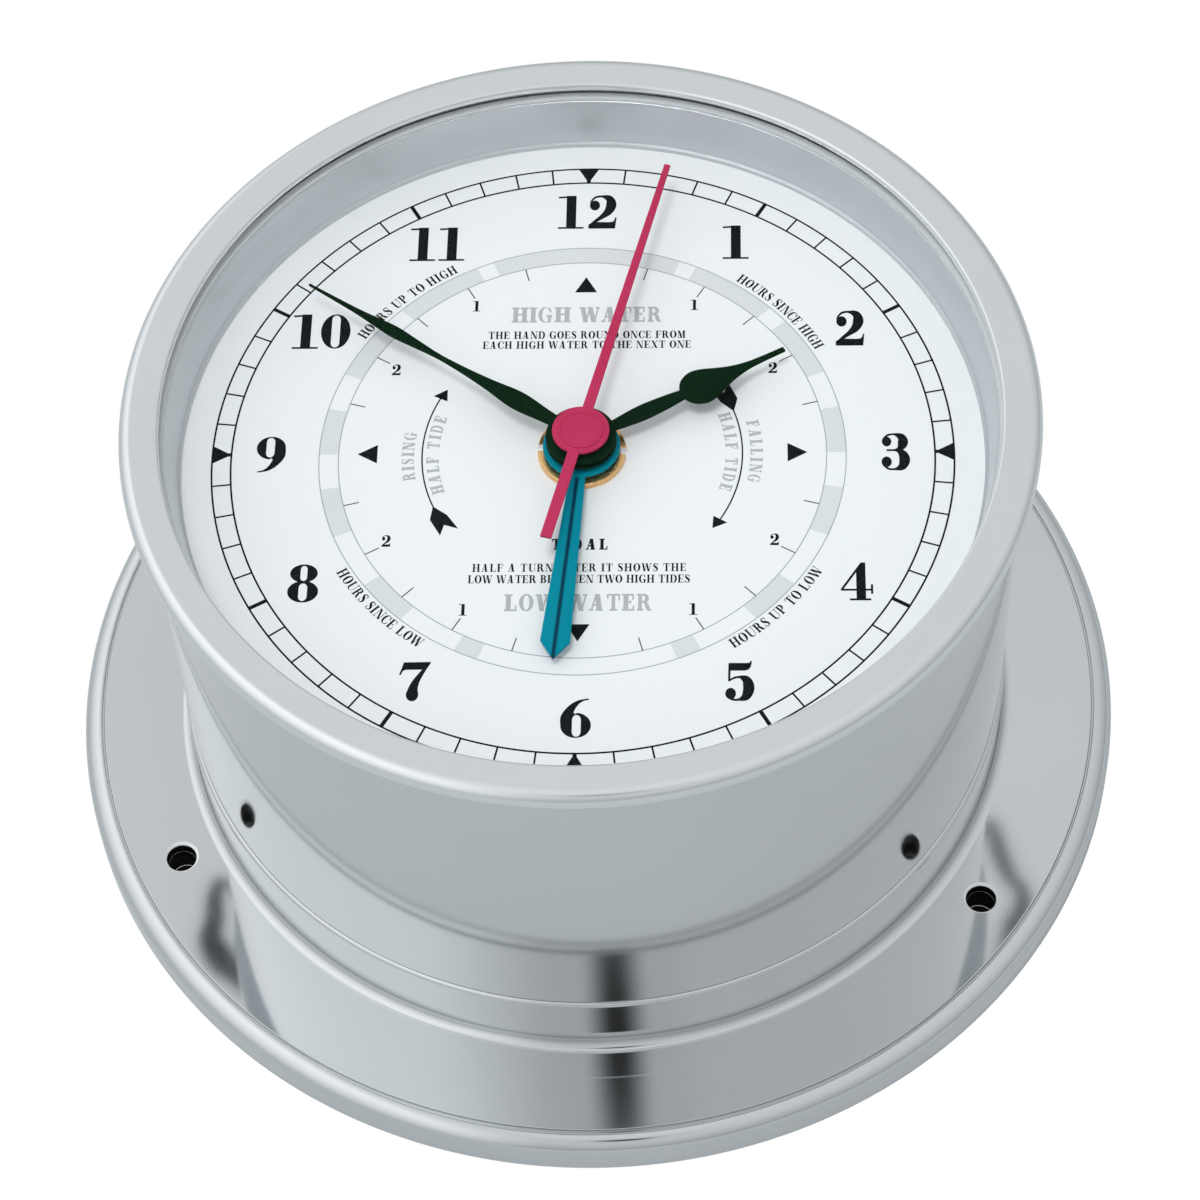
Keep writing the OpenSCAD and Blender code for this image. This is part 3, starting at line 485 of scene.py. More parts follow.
def glyph_set(thin, heavy):
    """Letters and numerals of height 1 as (width, layers), with that hairline and thick stroke."""
    top = 1 - thin

    def block(x0, y0, x1, y1):
        return (1, bar(x0, y0, x1, y1))

    def stroke(*points):
        return (1, brush(points))

    def dot(x, y, r):
        return (1, circle(x, y, r, 24))

    def serif(x0, x1, y=0.0):
        return block(x0, y, x1, y + thin)

    def hairline(x):
        return block(x, 0, x + thin, 1)

    def leg(x0, x1, width):
        """Slanting stroke from x0 at the foot to x1 at the top."""
        return (1, [(x0, 0), (x0 + width, 0), (x1 + width, 1), (x1, 1)])

    def stem(x, ends=0.1):
        x1 = x + heavy
        return [block(x, 0, x1, 1), serif(x - ends, x1 + ends), serif(x - ends, x1 + ends, top)]

    def arm(x0, x1, y, tick=0.0):
        """Level hairline that ends in an upright tick."""
        out = [serif(x0, x1, y)]
        if tick:
            out.append(block(x1 - thin, min(y, y + tick), x1, max(y + thin, y + tick)))
        return out

    def half_round(x, y0, y1, width, flat):
        """Outline that bulges right from x. Its top and bottom are level for the flat share of its width."""
        middle, half = (y0 + y1) / 2, (y1 - y0) / 2
        turns = [pi / 2 - pi * k / 16 for k in range(17)]
        return [(x, y1)] + [(x + width * (flat + (1 - flat) * cos(t)), middle + half * sin(t))
                            for t in turns] + [(x, y0)]

    def bowl(x, y0, y1, width, thick):
        """Half round stroke with its thick part on the right."""
        return [(1, half_round(x, y0, y1, width, 0.4)),
                (-1, half_round(x, y0 + thin, y1 - thin, width - thick, 0.45))]

    def round_letter(width, thick=0.27):
        x = width / 2
        return [(1, ellipse(x, 0.5, x, 0.515)), (-1, ellipse(x, 0.5, x - thick, 0.515 - thin * 0.7))]

    post = block(0.08, 0, 0.31, 1)
    drawn = {
        " ": (0.36, []),
        "0": (0.86, [(1, ellipse(0.43, 0.5, 0.43, 0.5)), (-1, slot_shape(0.43, 0.035, 0.965, 0.125))]),
        "1": (0.76, [block(0.24, 0, 0.53, 1), block(0, 0, 0.76, 0.05), (1, [(0, 0.925), (0.26, 0.935),
            (0.4, 0.94), (0.4, 1.0), (0.24, 0.985), (0, 0.975)])]),
        "2": (0.86, [stroke((0.055, 0.72, 0.02), (0.075, 0.83, 0.025), (0.2, 0.95, 0.03),
            (0.4, 0.975, 0.035), (0.60, 0.90, 0.11), (0.665, 0.72, 0.155), (0.58, 0.52, 0.12),
            (0.40, 0.36, 0.07), (0.2, 0.22, 0.045), (0.04, 0.08, 0.04)), dot(0.18, 0.70, 0.15), (1,
            [(0, 0), (0, 0.12), (0.12, 0.2), (0.62, 0.19), (0.72, 0.205), (0.77, 0.26), (0.785, 0.335),
            (0.83, 0.335), (0.79, 0)])]),
        "3": (0.82, [stroke((0.06, 0.84, 0.02), (0.2, 0.955, 0.028), (0.40, 0.98, 0.03),
            (0.58, 0.90, 0.11), (0.63, 0.765, 0.15), (0.56, 0.62, 0.10), (0.44, 0.55, 0.035),
            (0.16, 0.535, 0.02)), stroke((0.16, 0.545, 0.02), (0.44, 0.535, 0.035), (0.60, 0.44, 0.12),
            (0.665, 0.27, 0.155), (0.58, 0.09, 0.11), (0.40, 0.02, 0.033), (0.2, 0.03, 0.028),
            (0.05, 0.14, 0.02)), dot(0.17, 0.78, 0.135), dot(0.155, 0.22, 0.145)]),
        "4": (0.89, [block(0.43, 0, 0.69, 0.82), (1, [(0.43, 0.80), (0.56, 1), (0.69, 1), (0.69, 0.8)]),
            (1, [(0, 0.255), (0, 0.305), (0.56, 1), (0.64, 1), (0.065, 0.29), (0.065, 0.255)]),
            block(0, 0.255, 0.85, 0.305), block(0.83, 0.17, 0.89, 0.42), block(0.24, 0, 0.83, 0.05)]),
        "5": (0.82, [(1, [(0.11, 0.95), (0.62, 0.95), (0.69, 0.962), (0.71, 1), (0.75, 1), (0.72, 0.86),
            (0.66, 0.785), (0.56, 0.755), (0.165, 0.755), (0.155, 0.5), (0.095, 0.49)]),
            stroke((0.115, 0.49, 0.02), (0.25, 0.565, 0.026), (0.42, 0.59, 0.035), (0.59, 0.51, 0.12),
            (0.66, 0.32, 0.155), (0.58, 0.11, 0.12), (0.40, 0.02, 0.035), (0.2, 0.025, 0.028),
            (0.055, 0.12, 0.02)), dot(0.165, 0.17, 0.145)]),
        "6": (0.82, [(1, ellipse(0.415, 0.315, 0.415, 0.315)), stroke((0.13, 0.28, 0.12),
            (0.15, 0.50, 0.15), (0.29, 0.74, 0.10), (0.46, 0.89, 0.05), (0.62, 0.955, 0.022),
            (0.76, 0.975, 0.018)), (-1, [(0.37, 0.575), (0.42, 0.62), (0.5, 0.632), (0.6, 0.62),
            (0.6, 0.66), (0.40, 0.655)]), (-1, slot_shape(0.435, 0.03, 0.575, 0.12))]),
        "7": (0.86, [(1, [(0.115, 0.99), (0.86, 1), (0.84, 0.95), (0.70, 0.805), (0.17, 0.80),
            (0.10, 0.77), (0.045, 0.665), (0, 0.665)]), stroke((0.81, 0.96, 0.03), (0.66, 0.77, 0.05),
            (0.50, 0.54, 0.085), (0.41, 0.34, 0.125), (0.385, 0.17, 0.165)), dot(0.385, 0.165, 0.17)]),
        "8": (0.86, [(1, ellipse(0.43, 0.765, 0.385, 0.24)), (1, ellipse(0.43, 0.28, 0.43, 0.285)), (-1,
            slot_shape(0.43, 0.565, 0.965, 0.095)), (-1, slot_shape(0.43, 0.035, 0.50, 0.12))]),
        "A": (1.0, [leg(0.52, 0.36, heavy + 0.02), leg(0.1, 0.42, thin),
            block(0.22, 0.3, 0.62, 0.3 + thin), serif(0, 0.28), serif(0.44, 0.88)]),
        "B": (0.86, bowl(0.25, 0.48, 1, 0.46, 0.22) + bowl(0.25, 0, 0.53, 0.53, 0.24) + [ post,
            serif(0, 0.35), serif(0, 0.35, top)]),
        "C": (0.84, [(1, ellipse(0.45, 0.5, 0.45, 0.515)), (-1, ellipse(0.5, 0.5, 0.25, 0.47)), (-1,
            bar(0.62, 0.26, 0.95, 0.68)), block(0.74, 0.64, 0.79, 1), stroke((0.77, 0.3, 0.022),
            (0.7, 0.13, 0.03), (0.55, 0.03, 0.03))]),
        "D": (0.95, bowl(0.25, 0, 1, 0.65, 0.25) + [post, serif(0, 0.4), serif(0, 0.4, top)]),
        "E": (0.82, stem(0.08) + arm(0.2, 0.74, top, -0.25) + arm(0.2, 0.76, 0, 0.29) +
            arm(0.2, 0.56, 0.47) + [block(0.53, 0.36, 0.57, 0.64)]),
        "F": (0.78, stem(0.08) + arm(0.2, 0.74, top, -0.27) + arm(0.2, 0.56, 0.47) +
            [block(0.53, 0.36, 0.57, 0.64)]),
        "G": (0.94, [(1, ellipse(0.45, 0.5, 0.45, 0.515)), (-1, ellipse(0.5, 0.5, 0.25, 0.47)), (-1,
            bar(0.62, 0.44, 0.95, 0.68)), block(0.74, 0.64, 0.79, 1), block(0.62, 0, 0.83, 0.42),
            block(0.52, 0.38, 0.92, 0.38 + thin)]),
        "H": (1.04, stem(0.1) + stem(0.68) + [block(0.3, 0.47, 0.7, 0.47 + thin)]),
        "I": (0.48, stem(0.1)),
        "L": (0.80, stem(0.08) + arm(0.2, 0.76, 0, 0.32)),
        "M": (1.2, [leg(0.44, 0.12, heavy), leg(0.50, 0.78, thin), hairline(0.12),
            block(0.78, 0, 1.02, 1), serif(0, 0.32), serif(0.70, 1.12), serif(0.03, 0.3, top),
            serif(0.78, 1.12, top)]),
        "N": (1.0, [leg(0.66, 0.1, heavy), hairline(0.12), hairline(0.83), serif(0, 0.3),
            serif(0, 0.3, top), serif(0.7, 1, top)]),
        "O": (0.92, round_letter(0.92)),
        "P": (0.84, bowl(0.25, 0.43, 1, 0.52, 0.24) + [post, serif(0, 0.4), serif(0, 0.35, top)]),
        "R": (0.96, bowl(0.25, 0.47, 1, 0.5, 0.24) + [ post, serif(0, 0.4), serif(0, 0.35, top),
            stroke((0.40, 0.49, 0.03), (0.58, 0.4, 0.11), (0.68, 0.16, 0.12), (0.82, 0.03, 0.05),
            (0.93, 0.06, 0.02))]),
        "S": (0.72, [stroke((0.60, 0.80, 0.03), (0.5, 0.93, 0.035), (0.33, 0.965, 0.04),
            (0.16, 0.86, 0.08), (0.17, 0.68, 0.11), (0.36, 0.53, 0.13), (0.54, 0.37, 0.12),
            (0.575, 0.18, 0.09), (0.43, 0.045, 0.04), (0.25, 0.04, 0.035), (0.11, 0.2, 0.03)),
            block(0.585, 0.67, 0.635, 1), block(0.05, 0, 0.10, 0.33)]),
        "T": (0.88, [block(0.32, 0, 0.55, 1), serif(0.2, 0.67)] + arm(0.02, 0.85, top, -0.28) +
            [block(0.02, 0.72, 0.02 + thin, 1)]),
        "U": (0.98, [block(0.1, 0.3, 0.33, 1), serif(0, 0.43, top), block(0.81, 0.3, 0.81 + thin, 1),
            serif(0.68, 0.98, top), (1, ellipse(0.483, 0.3, 0.383, 0.315)), (-1,
            ellipse(0.57, 0.3, 0.24, 0.26)), (-1, bar(0.33, 0.3, 0.81, 0.8))]),
        "W": (1.34, [leg(0.28, 0.06, heavy), leg(0.40, 0.66, thin), leg(0.82, 0.56, heavy),
            leg(0.95, 1.22, thin), serif(0, 0.36, top), serif(0.52, 0.84, top), serif(1.08, 1.34, top)]),
        "X": (0.98, [leg(0.62, 0.08, heavy + 0.02), leg(0.12, 0.78, thin), serif(0, 0.3),
            serif(0.55, 0.95), serif(0, 0.4, top), serif(0.66, 0.94, top)]),
        "Y": (0.96, [(1, [(0.36, 0.40), (0.60, 0.40), (0.32, 1), (0.06, 1)]), (1, [(0.52, 0.42),
            (0.58, 0.42), (0.86, 1), (0.80, 1)]), block(0.37, 0, 0.60, 0.45), serif(0.26, 0.71),
            serif(0, 0.40, top), serif(0.68, 0.96, top)]),
    }
    drawn["9"] = (0.82, [(sign, [(0.82 - x, 1 - y) for x, y in loop]) for sign, loop in drawn["6"][1]])
    return drawn


PLAIN = glyph_set(0.06, 0.24)
BOLD = glyph_set(0.105, 0.31)


# ---------------------------------------------------------------- shader node groups
def noise(tree, vector, scale, detail, roughness=0.5):
    return add(tree, "ShaderNodeTexNoise", inputs={
        "Vector": vector, "Scale": scale, "Detail": detail, "Roughness": roughness}).outputs["Fac"]


def grain_group():
    """Fine marks left by turning: lines that run round the Z axis on walls and faces alike."""
    tree, start, end = new_group(
        "turning_grain", "ShaderNodeTree",
        [("Lines per mm", "Float", 12.0), ("Streak length", "Float", 4.0), ("Offset", "Float", 0.0)],
        [("Lines", "Float", None)])
    x, y, z = xyz(tree, object_place(tree))
    radius = math_node(tree, "SQRT", plus(tree, times(tree, x, x), times(tree, y, y)))
    across = times(tree, start.outputs["Lines per mm"], 1000.0)
    streak = times(tree, math_node(tree, "ARCTAN2", y, x), start.outputs["Streak length"])
    lines = add(tree, "ShaderNodeCombineXYZ", inputs={
        0: times(tree, radius, across), 1: times(tree, z, across),
        2: plus(tree, streak, start.outputs["Offset"])})
    tree.links.new(noise(tree, lines.outputs[0], 1.0, 2.0, 0.6), end.inputs["Lines"])
    return tree


def smudge_group():
    """Broad soft patches, as a wiped surface has, from 0 to 1."""
    tree, start, end = new_group(
        "wiped_patches", "ShaderNodeTree",
        [("Patches per m", "Float", 30.0), ("Contrast", "Float", 1.0)], [("Patches", "Float", None)])
    patch = noise(tree, object_place(tree), start.outputs["Patches per m"], 3.0, 0.55)
    stronger = times(tree, minus(tree, patch, 0.5), start.outputs["Contrast"])
    moved = add(tree, "ShaderNodeMath", operation="ADD", use_clamp=True, inputs={0: stronger, 1: 0.5})
    tree.links.new(moved.outputs[0], end.inputs["Patches"])
    return tree


def pitted_group():
    """Fine even roughness of a moulded or sprayed surface, from 0 to 1."""
    tree, start, end = new_group(
        "fine_pits", "ShaderNodeTree", [("Pits per mm", "Float", 5.0)], [("Pits", "Float", None)])
    scale = times(tree, start.outputs["Pits per mm"], 1000.0)
    tree.links.new(noise(tree, object_place(tree), scale, 2.0), end.inputs["Pits"])
    return tree


GRAIN, SMUDGE, PITS = grain_group(), smudge_group(), pitted_group()


# ---------------------------------------------------------------- materials
def blank(name):
    made = bpy.data.materials.new(name)
    made.use_nodes = True
    return made, made.node_tree, made.node_tree.nodes["Principled BSDF"]


def placed(tree, group, **values):
    return with_values(add(tree, "ShaderNodeGroup", node_tree=group), **values).outputs[0]


def ramp(tree, value, start, end, low=0.0, high=1.0, kind="LINEAR"):
    """The value from start to end carried to the range from low to high."""
    return add(tree, "ShaderNodeMapRange", interpolation_type=kind,
               inputs={0: value, 1: start, 2: end, 3: low, 4: high}).outputs[0]


def spread(tree, value, low, high):
    """The value from 0 to 1 carried to the range from low to high."""
    return ramp(tree, value, 0.0, 1.0, low, high)


def between(tree, value, a, b):
    """A colour between a and b."""
    mix = add(tree, "ShaderNodeMix", data_type="RGBA", inputs={0: value})
    mix.inputs[6].default_value, mix.inputs[7].default_value = (*a, 1), (*b, 1)
    return mix.outputs[2]


def bumped(tree, shader, height, strength, distance_mm):
    made = add(tree, "ShaderNodeBump", inputs={"Strength": strength, "Distance": distance_mm * MM,
                                               "Height": height})
    tree.links.new(made.outputs[0], shader.inputs["Normal"])


def metal(name, dark, light, rough, lines, bump, patches=25.0):
    """Turned metal: grain round the axis, and wiped patches that shift colour and gloss a little."""
    made, tree, shader = blank(name)
    with_values(shader, Metallic=1.0)
    grain = placed(tree, GRAIN, Lines_per_mm=lines, Streak_length=5.0)
    patch = placed(tree, SMUDGE, Patches_per_m=patches, Contrast=1.6)
    mixed = plus(tree, times(tree, grain, 0.6), times(tree, patch, 0.4))
    tree.links.new(between(tree, mixed, dark, light), shader.inputs["Base Color"])
    tree.links.new(spread(tree, mixed, *rough), shader.inputs["Roughness"])
    bumped(tree, shader, grain, bump, 0.01)
    return made


def plastic(name, dark, light, rough, pits=5.0, bump=0.15, gloss=0.5):
    """Moulded or painted surface with fine pits."""
    made, tree, shader = blank(name)
    with_values(shader, Specular_IOR_Level=gloss)
    fine = placed(tree, PITS, Pits_per_mm=pits)
    patch = placed(tree, SMUDGE, Patches_per_m=90.0, Contrast=1.4)
    tree.links.new(between(tree, patch, dark, light), shader.inputs["Base Color"])
    tree.links.new(spread(tree, fine, *rough), shader.inputs["Roughness"])
    if bump:
        bumped(tree, shader, fine, bump, 0.02)
    return made


CHROME_DARK, CHROME_LIGHT = (0.605, 0.626, 0.640), (0.685, 0.702, 0.712)
polished = metal("polished_chrome", CHROME_DARK, CHROME_LIGHT, (0.03, 0.07), 14.0, 0.02)
satin = metal("satin_chrome", CHROME_DARK, CHROME_LIGHT, (0.04, 0.10), 9.0, 0.05)
bezel_metal = metal("bezel_chrome", (0.71, 0.735, 0.755), (0.80, 0.82, 0.835), (0.16, 0.28), 8.0, 0.10)
ring_metal = metal("grey_satin_ring", (0.54, 0.565, 0.585), (0.61, 0.635, 0.655), (0.30, 0.42), 7.0, 0.10)
steel = metal("plain_steel", (0.42, 0.43, 0.45), (0.56, 0.57, 0.58), (0.22, 0.38), 6.0, 0.15, 200.0)
nut_face = metal("pale_copper_plate", (0.70, 0.52, 0.45), (0.86, 0.72, 0.66), (0.22, 0.34), 10.0, 0.10, 300.0)
brass = metal("turned_brass", (0.72, 0.40, 0.16), (0.86, 0.55, 0.26), (0.20, 0.34), 10.0, 0.12, 300.0)
copper = metal("enamelled_copper", (0.50, 0.20, 0.08), (0.72, 0.34, 0.16), (0.25, 0.40), 6.0, 0.30, 400.0)
magnet = metal("sintered_magnet", (0.10, 0.10, 0.11), (0.16, 0.16, 0.17), (0.50, 0.70), 3.0, 0.30, 400.0)
rubber = plastic("black_rubber", (0.010, 0.010, 0.011), (0.020, 0.020, 0.021), (0.55, 0.75), 4.0, 0.3)
ground_edge = plastic("ground_glass_edge", (0.55, 0.57, 0.58), (0.62, 0.64, 0.65), (0.50, 0.65), 5.0, 0.1,
                      0.2)
silicone = plastic("grey_silicone", (0.60, 0.63, 0.65), (0.66, 0.69, 0.71), (0.45, 0.60), 4.0, 0.2, 0.2)
# Near black metal for the screw holes' walls: painted shade, standing for the dark inside the narrow holes.
painted_shade_bore = metal("bore_painted_shade", (0.010, 0.010, 0.011), (0.030, 0.030, 0.032), (0.55, 0.75), 4.0, 0.3,
                  300.0)
black_case = plastic("black_moulding", (0.012, 0.012, 0.014), (0.022, 0.022, 0.024), (0.36, 0.56), 6.0, 0.25)
cream = plastic("cream_moulding", (0.66, 0.60, 0.46), (0.74, 0.68, 0.54), (0.34, 0.50), 5.0)
white = plastic("white_moulding", (0.70, 0.68, 0.61), (0.80, 0.78, 0.71), (0.28, 0.42), 5.0)
board = plastic("green_board", (0.010, 0.090, 0.035), (0.016, 0.14, 0.055), (0.22, 0.34), 3.0)
crimson = plastic("crimson_paint", (0.40, 0.022, 0.075), (0.49, 0.034, 0.108), (0.38, 0.55), 7.0, 0.25, 0.08)
hand_dark = plastic("dark_green_paint", (0.001, 0.010, 0.003), (0.002, 0.017, 0.006), (0.40, 0.56), 7.0, 0.25,
                    0.03)
ink = plastic("black_ink", (0.0035, 0.0055, 0.006), (0.006, 0.008, 0.009), (0.50, 0.62), 9.0, 0.0, 0.06)
grey_ink = plastic("grey_ink", (0.60, 0.63, 0.65), (0.64, 0.67, 0.69), (0.50, 0.62), 9.0, 0.0, 0.06)
line_ink = plastic("mid_grey_ink", (0.30, 0.33, 0.35), (0.36, 0.39, 0.41), (0.50, 0.62), 9.0, 0.0, 0.06)
legend_ink = plastic("legend_ink", (0.38, 0.40, 0.41), (0.43, 0.45, 0.46), (0.50, 0.62), 9.0, 0.0, 0.06)
enamel = plastic("dial_enamel", (0.755, 0.784, 0.797), (0.765, 0.794, 0.807), (0.42, 0.50), 8.0, 0.05, 0.2)


def covered(tree, cover, under, top):
    """Mixes two shaders, the top one as far as cover says, and gives the result to the surface."""
    mix = add(tree, "ShaderNodeMixShader", inputs={0: cover, 1: under.outputs[0], 2: top.outputs[0]})
    tree.links.new(mix.outputs[0], tree.nodes["Material Output"].inputs["Surface"])


def glass_material():
    """Clear glass that lets light through to the dial."""
    made, tree, shader = blank("clear_glass")
    with_values(shader, Base_Color=(1, 1, 1, 1), Metallic=0.0, Transmission_Weight=1.0, IOR=1.07)
    wiped = placed(tree, SMUDGE, Patches_per_m=40.0, Contrast=1.0)
    tree.links.new(spread(tree, wiped, 0.0, 0.012), shader.inputs["Roughness"])
    path = add(tree, "ShaderNodeLightPath")
    soft = math_node(tree, "MAXIMUM", path.outputs["Is Shadow Ray"], path.outputs["Is Diffuse Ray"])
    covered(tree, soft, shader, add(tree, "ShaderNodeBsdfTransparent"))
    return made


def tide_paint():
    """Teal paint with a soft dark line along the middle of the hand."""
    made, tree, shader = blank("teal_paint")
    along = add(tree, "ShaderNodeMapping",
                inputs={"Vector": object_place(tree), "Rotation": (0, 0, radians(TIDE_AT))})
    x, y, _ = xyz(tree, along.outputs[0])
    off = math_node(tree, "ABSOLUTE", x)
    line = ramp(tree, off, 0.10 * MM, 0.42 * MM, 1.0, 0.0, "SMOOTHSTEP")
    clear_of_hub = ramp(tree, y, 5.2 * MM, 5.6 * MM)
    fine = placed(tree, PITS, Pits_per_mm=7.0)
    mask = times(tree, line, clear_of_hub)
    paint = between(tree, mask, (0.0, 0.215, 0.295), (0.001, 0.035, 0.070))
    tree.links.new(paint, shader.inputs["Base Color"])
    tree.links.new(spread(tree, fine, 0.36, 0.52), shader.inputs["Roughness"])
    bumped(tree, shader, fine, 0.25, 0.02)
    with_values(shader, Specular_IOR_Level=0.04)
    return made


def battery_wrap():
    """Printed wrapper: dark, with a copper-coloured band at one end and bare metal at both ends."""
    made, tree, shader = blank("battery_wrap")
    along = xyz(tree, object_place(tree))[0]
    band = ramp(tree, along, 11.8 * MM, 12.0 * MM)
    off_middle = math_node(tree, "ABSOLUTE", minus(tree, along, 0.35 * MM))
    ends = ramp(tree, off_middle, 24.0 * MM, 24.1 * MM)
    colour = between(tree, band, (0.014, 0.015, 0.018), (0.55, 0.33, 0.12))
    mix = add(tree, "ShaderNodeMix", data_type="RGBA", inputs={0: ends, 6: colour})
    mix.inputs[7].default_value = (0.55, 0.56, 0.57, 1)
    patch = placed(tree, SMUDGE, Patches_per_m=120.0, Contrast=1.2)
    tree.links.new(mix.outputs[2], shader.inputs["Base Color"])
    tree.links.new(ends, shader.inputs["Metallic"])
    tree.links.new(spread(tree, patch, 0.22, 0.38), shader.inputs["Roughness"])
    return made


glass = glass_material()
teal = tide_paint()
wrap = battery_wrap()

BY_SLOT = {"polished_chrome": polished, "satin_chrome": satin, "satin_metal": ring_metal, "steel": steel,
           "glass": glass, "rubber": rubber, "dial_white": enamel, "brass": brass,
           "black_plastic": black_case,
           "cream_plastic": cream, "white_plastic": white, "copper": copper, "board_green": board,
           "battery_wrap": wrap, "magnet": magnet, "crimson_paint": crimson, "dark_paint": hand_dark,
           "teal_paint": teal}
for row in frame["record"]["subparts"]:
    carried = nodes[row["node"]]
    finish = silicone if row["node"] == "glass_gasket" else BY_SLOT[row["material_slot"]]
    if carried.material_slots:
        for place in carried.material_slots:
            place.material = finish
    else:
        carried.data.materials.append(finish)


def settle(made, body, slot, *replaced):
    """The piece rides on its body and stands for its CAD nodes, which are hidden. The slot is not used."""
    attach(made, body)
    if replaced:
        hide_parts(*replaced)
    return made


# ---------------------------------------------------------------- wall base
BORE_R = 50
LIP_TOP, LIP_ROUND, LIP_IN = 6.2, 2.4, 72.35
GROOVE_Z = 5.7
base = turned("wall_base", [
    (BORE_R, 0, 0.3), (FLANGE_R - 0.3, 0, 0.3), (FLANGE_R, 0.5, 0.2), (FLANGE_R, LIP_TOP, LIP_ROUND),
    (LIP_IN, LIP_TOP, 0.1), (72.28, GROOVE_Z, 0.08), (72.05, GROOVE_Z, 0.08), (71.95, FLANGE_T, 0.1),
    (COLLAR_R, FLANGE_T, 1.6), (COLLAR_R, JOINT_Z, 0.6), (SPIGOT_R, JOINT_Z, 0), (SPIGOT_R, SPIGOT_TOP, 0.2),
    (SPIGOT_IN, SPIGOT_TOP, 0.2), (SPIGOT_IN, FLANGE_T, 0), (BORE_R, FLANGE_T, 0.3)], polished, steps=8)
BORE_TOP = 5.55
for at in HOLES:
    cut(base, cylinder_cutter([(HOLE_R, -1), (HOLE_R, BORE_TOP), (2.14, 5.65), (2.5, 6.0), (2.8, 6.3)], at))
SLOT_Z, SLOT_GAP = 22, 1.9
reach = degrees(asin(SLOT_GAP / SPIGOT_R))
for angle in LUG_AT:
    turned_to = angle + TWIST
    cut(base,
        curved_cutter(53, 57.2, SLOT_Z - SLOT_GAP, SLOT_Z + SLOT_GAP, angle - reach, turned_to + reach),
        curved_cutter(52.5, 57.6, SLOT_Z, SPIGOT_TOP + 1, turned_to - reach, turned_to + reach, 4))


def second_finish(made, finish, chosen):
    """Gives the chosen faces of the piece that finish."""
    made.data.materials.append(finish)
    for face in made.data.polygons:
        if chosen(face):
            face.material_index = 1


def in_bore(face):
    x, y, z = face.center / MM
    return z < BORE_TOP + 0.05 and any(hypot(x - hx, y - hy) < HOLE_R + 0.2 for hx, hy in HOLES)


# The screw holes' walls take the near black painted shade.
second_finish(base, painted_shade_bore, in_bore)
settle(base, "base", "polished_chrome", "base_flange", "base_collar")

# ---------------------------------------------------------------- case
CASE_LOW = 17.15
SEAT_IN = 54
drum = turned("case_wall", [
    (DRUM_IN, CASE_LOW, 0.2), (DRUM_R, CASE_LOW, 0.22), (DRUM_R, BEZEL_LOW, 0.3), (NECK_R, BEZEL_LOW, 0),
    (NECK_R, DIAL_BACK, 0), (SEAT_IN, DIAL_BACK, 0.2), (SEAT_IN, 60.3, 0.2), (DRUM_IN, 57.7, 0)], satin)
settle(drum, "case", "satin_chrome", "case_drum")
SKIRT_IN, SKIRT_R, SKIRT_LOW = 56.35, 57.3, 66.6
bezel = turned("bezel", [
    (SKIRT_IN, SKIRT_LOW, 0.2), (SKIRT_R, SKIRT_LOW, 0.2), (SKIRT_R, BEZEL_LOW, 0),
    (BEZEL_R, BEZEL_LOW, 0.35), (BEZEL_R, CASE_TOP, 1.5), (OPENING_R, CASE_TOP - 0.25, 0.45),
    (OPENING_R, GLASS_TOP, 0), (SKIRT_IN, GLASS_TOP, 0)], bezel_metal, steps=8)
settle(bezel, "case", "satin_chrome", "bezel_ring")
lens = turned("glass_disc", [(0, GLASS_LOW, 0), (GLASS_R, GLASS_LOW, 0.15), (GLASS_R, GLASS_TOP, 0.15),
                             (0, GLASS_TOP, 0)], glass, steps=3, segments=192)
second_finish(lens, ground_edge, lambda face: abs(face.normal.z) < 0.7)
settle(lens, "case", "glass", "glass_lens")
RING_IN, SHELF_LOW, SHELF_TOP = 53.6, 70.1, 70.7
reflector = turned("inner_ring", [
    (RING_IN, DIAL_Z, 0), (54.7, DIAL_Z, 0), (55.7, SHELF_LOW, 0), (GLASS_R, SHELF_LOW, 0),
    (GLASS_R, SHELF_TOP, 0.1), (54.9, SHELF_TOP, 0.15), (53.95, 63.4, 0.2), (RING_IN, 63.1, 0.12)],
    ring_metal)
settle(reflector, "case", "satin_metal", "reflector_ring")
DIAL_R, DIAL_HOLE = 57, 4.6
dial = turned("dial", [
    (DIAL_HOLE, DIAL_BACK, 0), (DIAL_R, DIAL_BACK, 0.05), (DIAL_R, DIAL_Z, 0.05),
    (DIAL_HOLE, DIAL_Z, 0.05)], enamel, steps=3, segments=192)
settle(dial, "case", "dial_white", "dial_plate")

# ---------------------------------------------------------------- print on the dial
CONDENSED = 0.79    # letters and numerals stand narrower than they are drawn above
PRINT_LOW = DIAL_Z - 0.01
PRINT_TOP = DIAL_Z + 0.016


def weighed(glyphs):
    """Each letter as its width and its flat cells."""
    return {letter: (width, flat_cells(layers) if layers else ([], []))
            for letter, (width, layers) in glyphs.items()}


PLAIN_TYPE, BOLD_TYPE = weighed(PLAIN), weighed(BOLD)


def at_clock(u, r, clock):
    """The point at distance r along the clock angle and u to its right."""
    a = radians(clock)
    return u * cos(a) + r * sin(a), r * cos(a) - u * sin(a)


def add_cells(sheet, cells, place):
    """Adds flat cells to the sheet of print, with every point moved by place."""
    first = len(sheet[0])
    sheet[0].extend(place(p) for p in cells[0])
    sheet[1].extend([first + i for i in cell] for cell in cells[1])


def set_line(text, height, length, face):
    """Each letter with its start and its width, spaced to fill the length about zero."""
    unit = height * CONDENSED
    gap = (length / unit - sum(face[c][0] for c in text)) / max(len(text) - 1, 1)
    out, x = [], -length / 2
    for c in text:
        out.append((c, x, face[c][0] * unit))
        x += (face[c][0] + gap) * unit
    return out


def write(sheet, text, height, length, x, y, face=PLAIN_TYPE):
    for letter, start, _ in set_line(text, height, length, face):
        add_cells(sheet, face[letter][1], lambda p: (
            x + start + p[0] * height * CONDENSED, y + (p[1] - 0.5) * height))


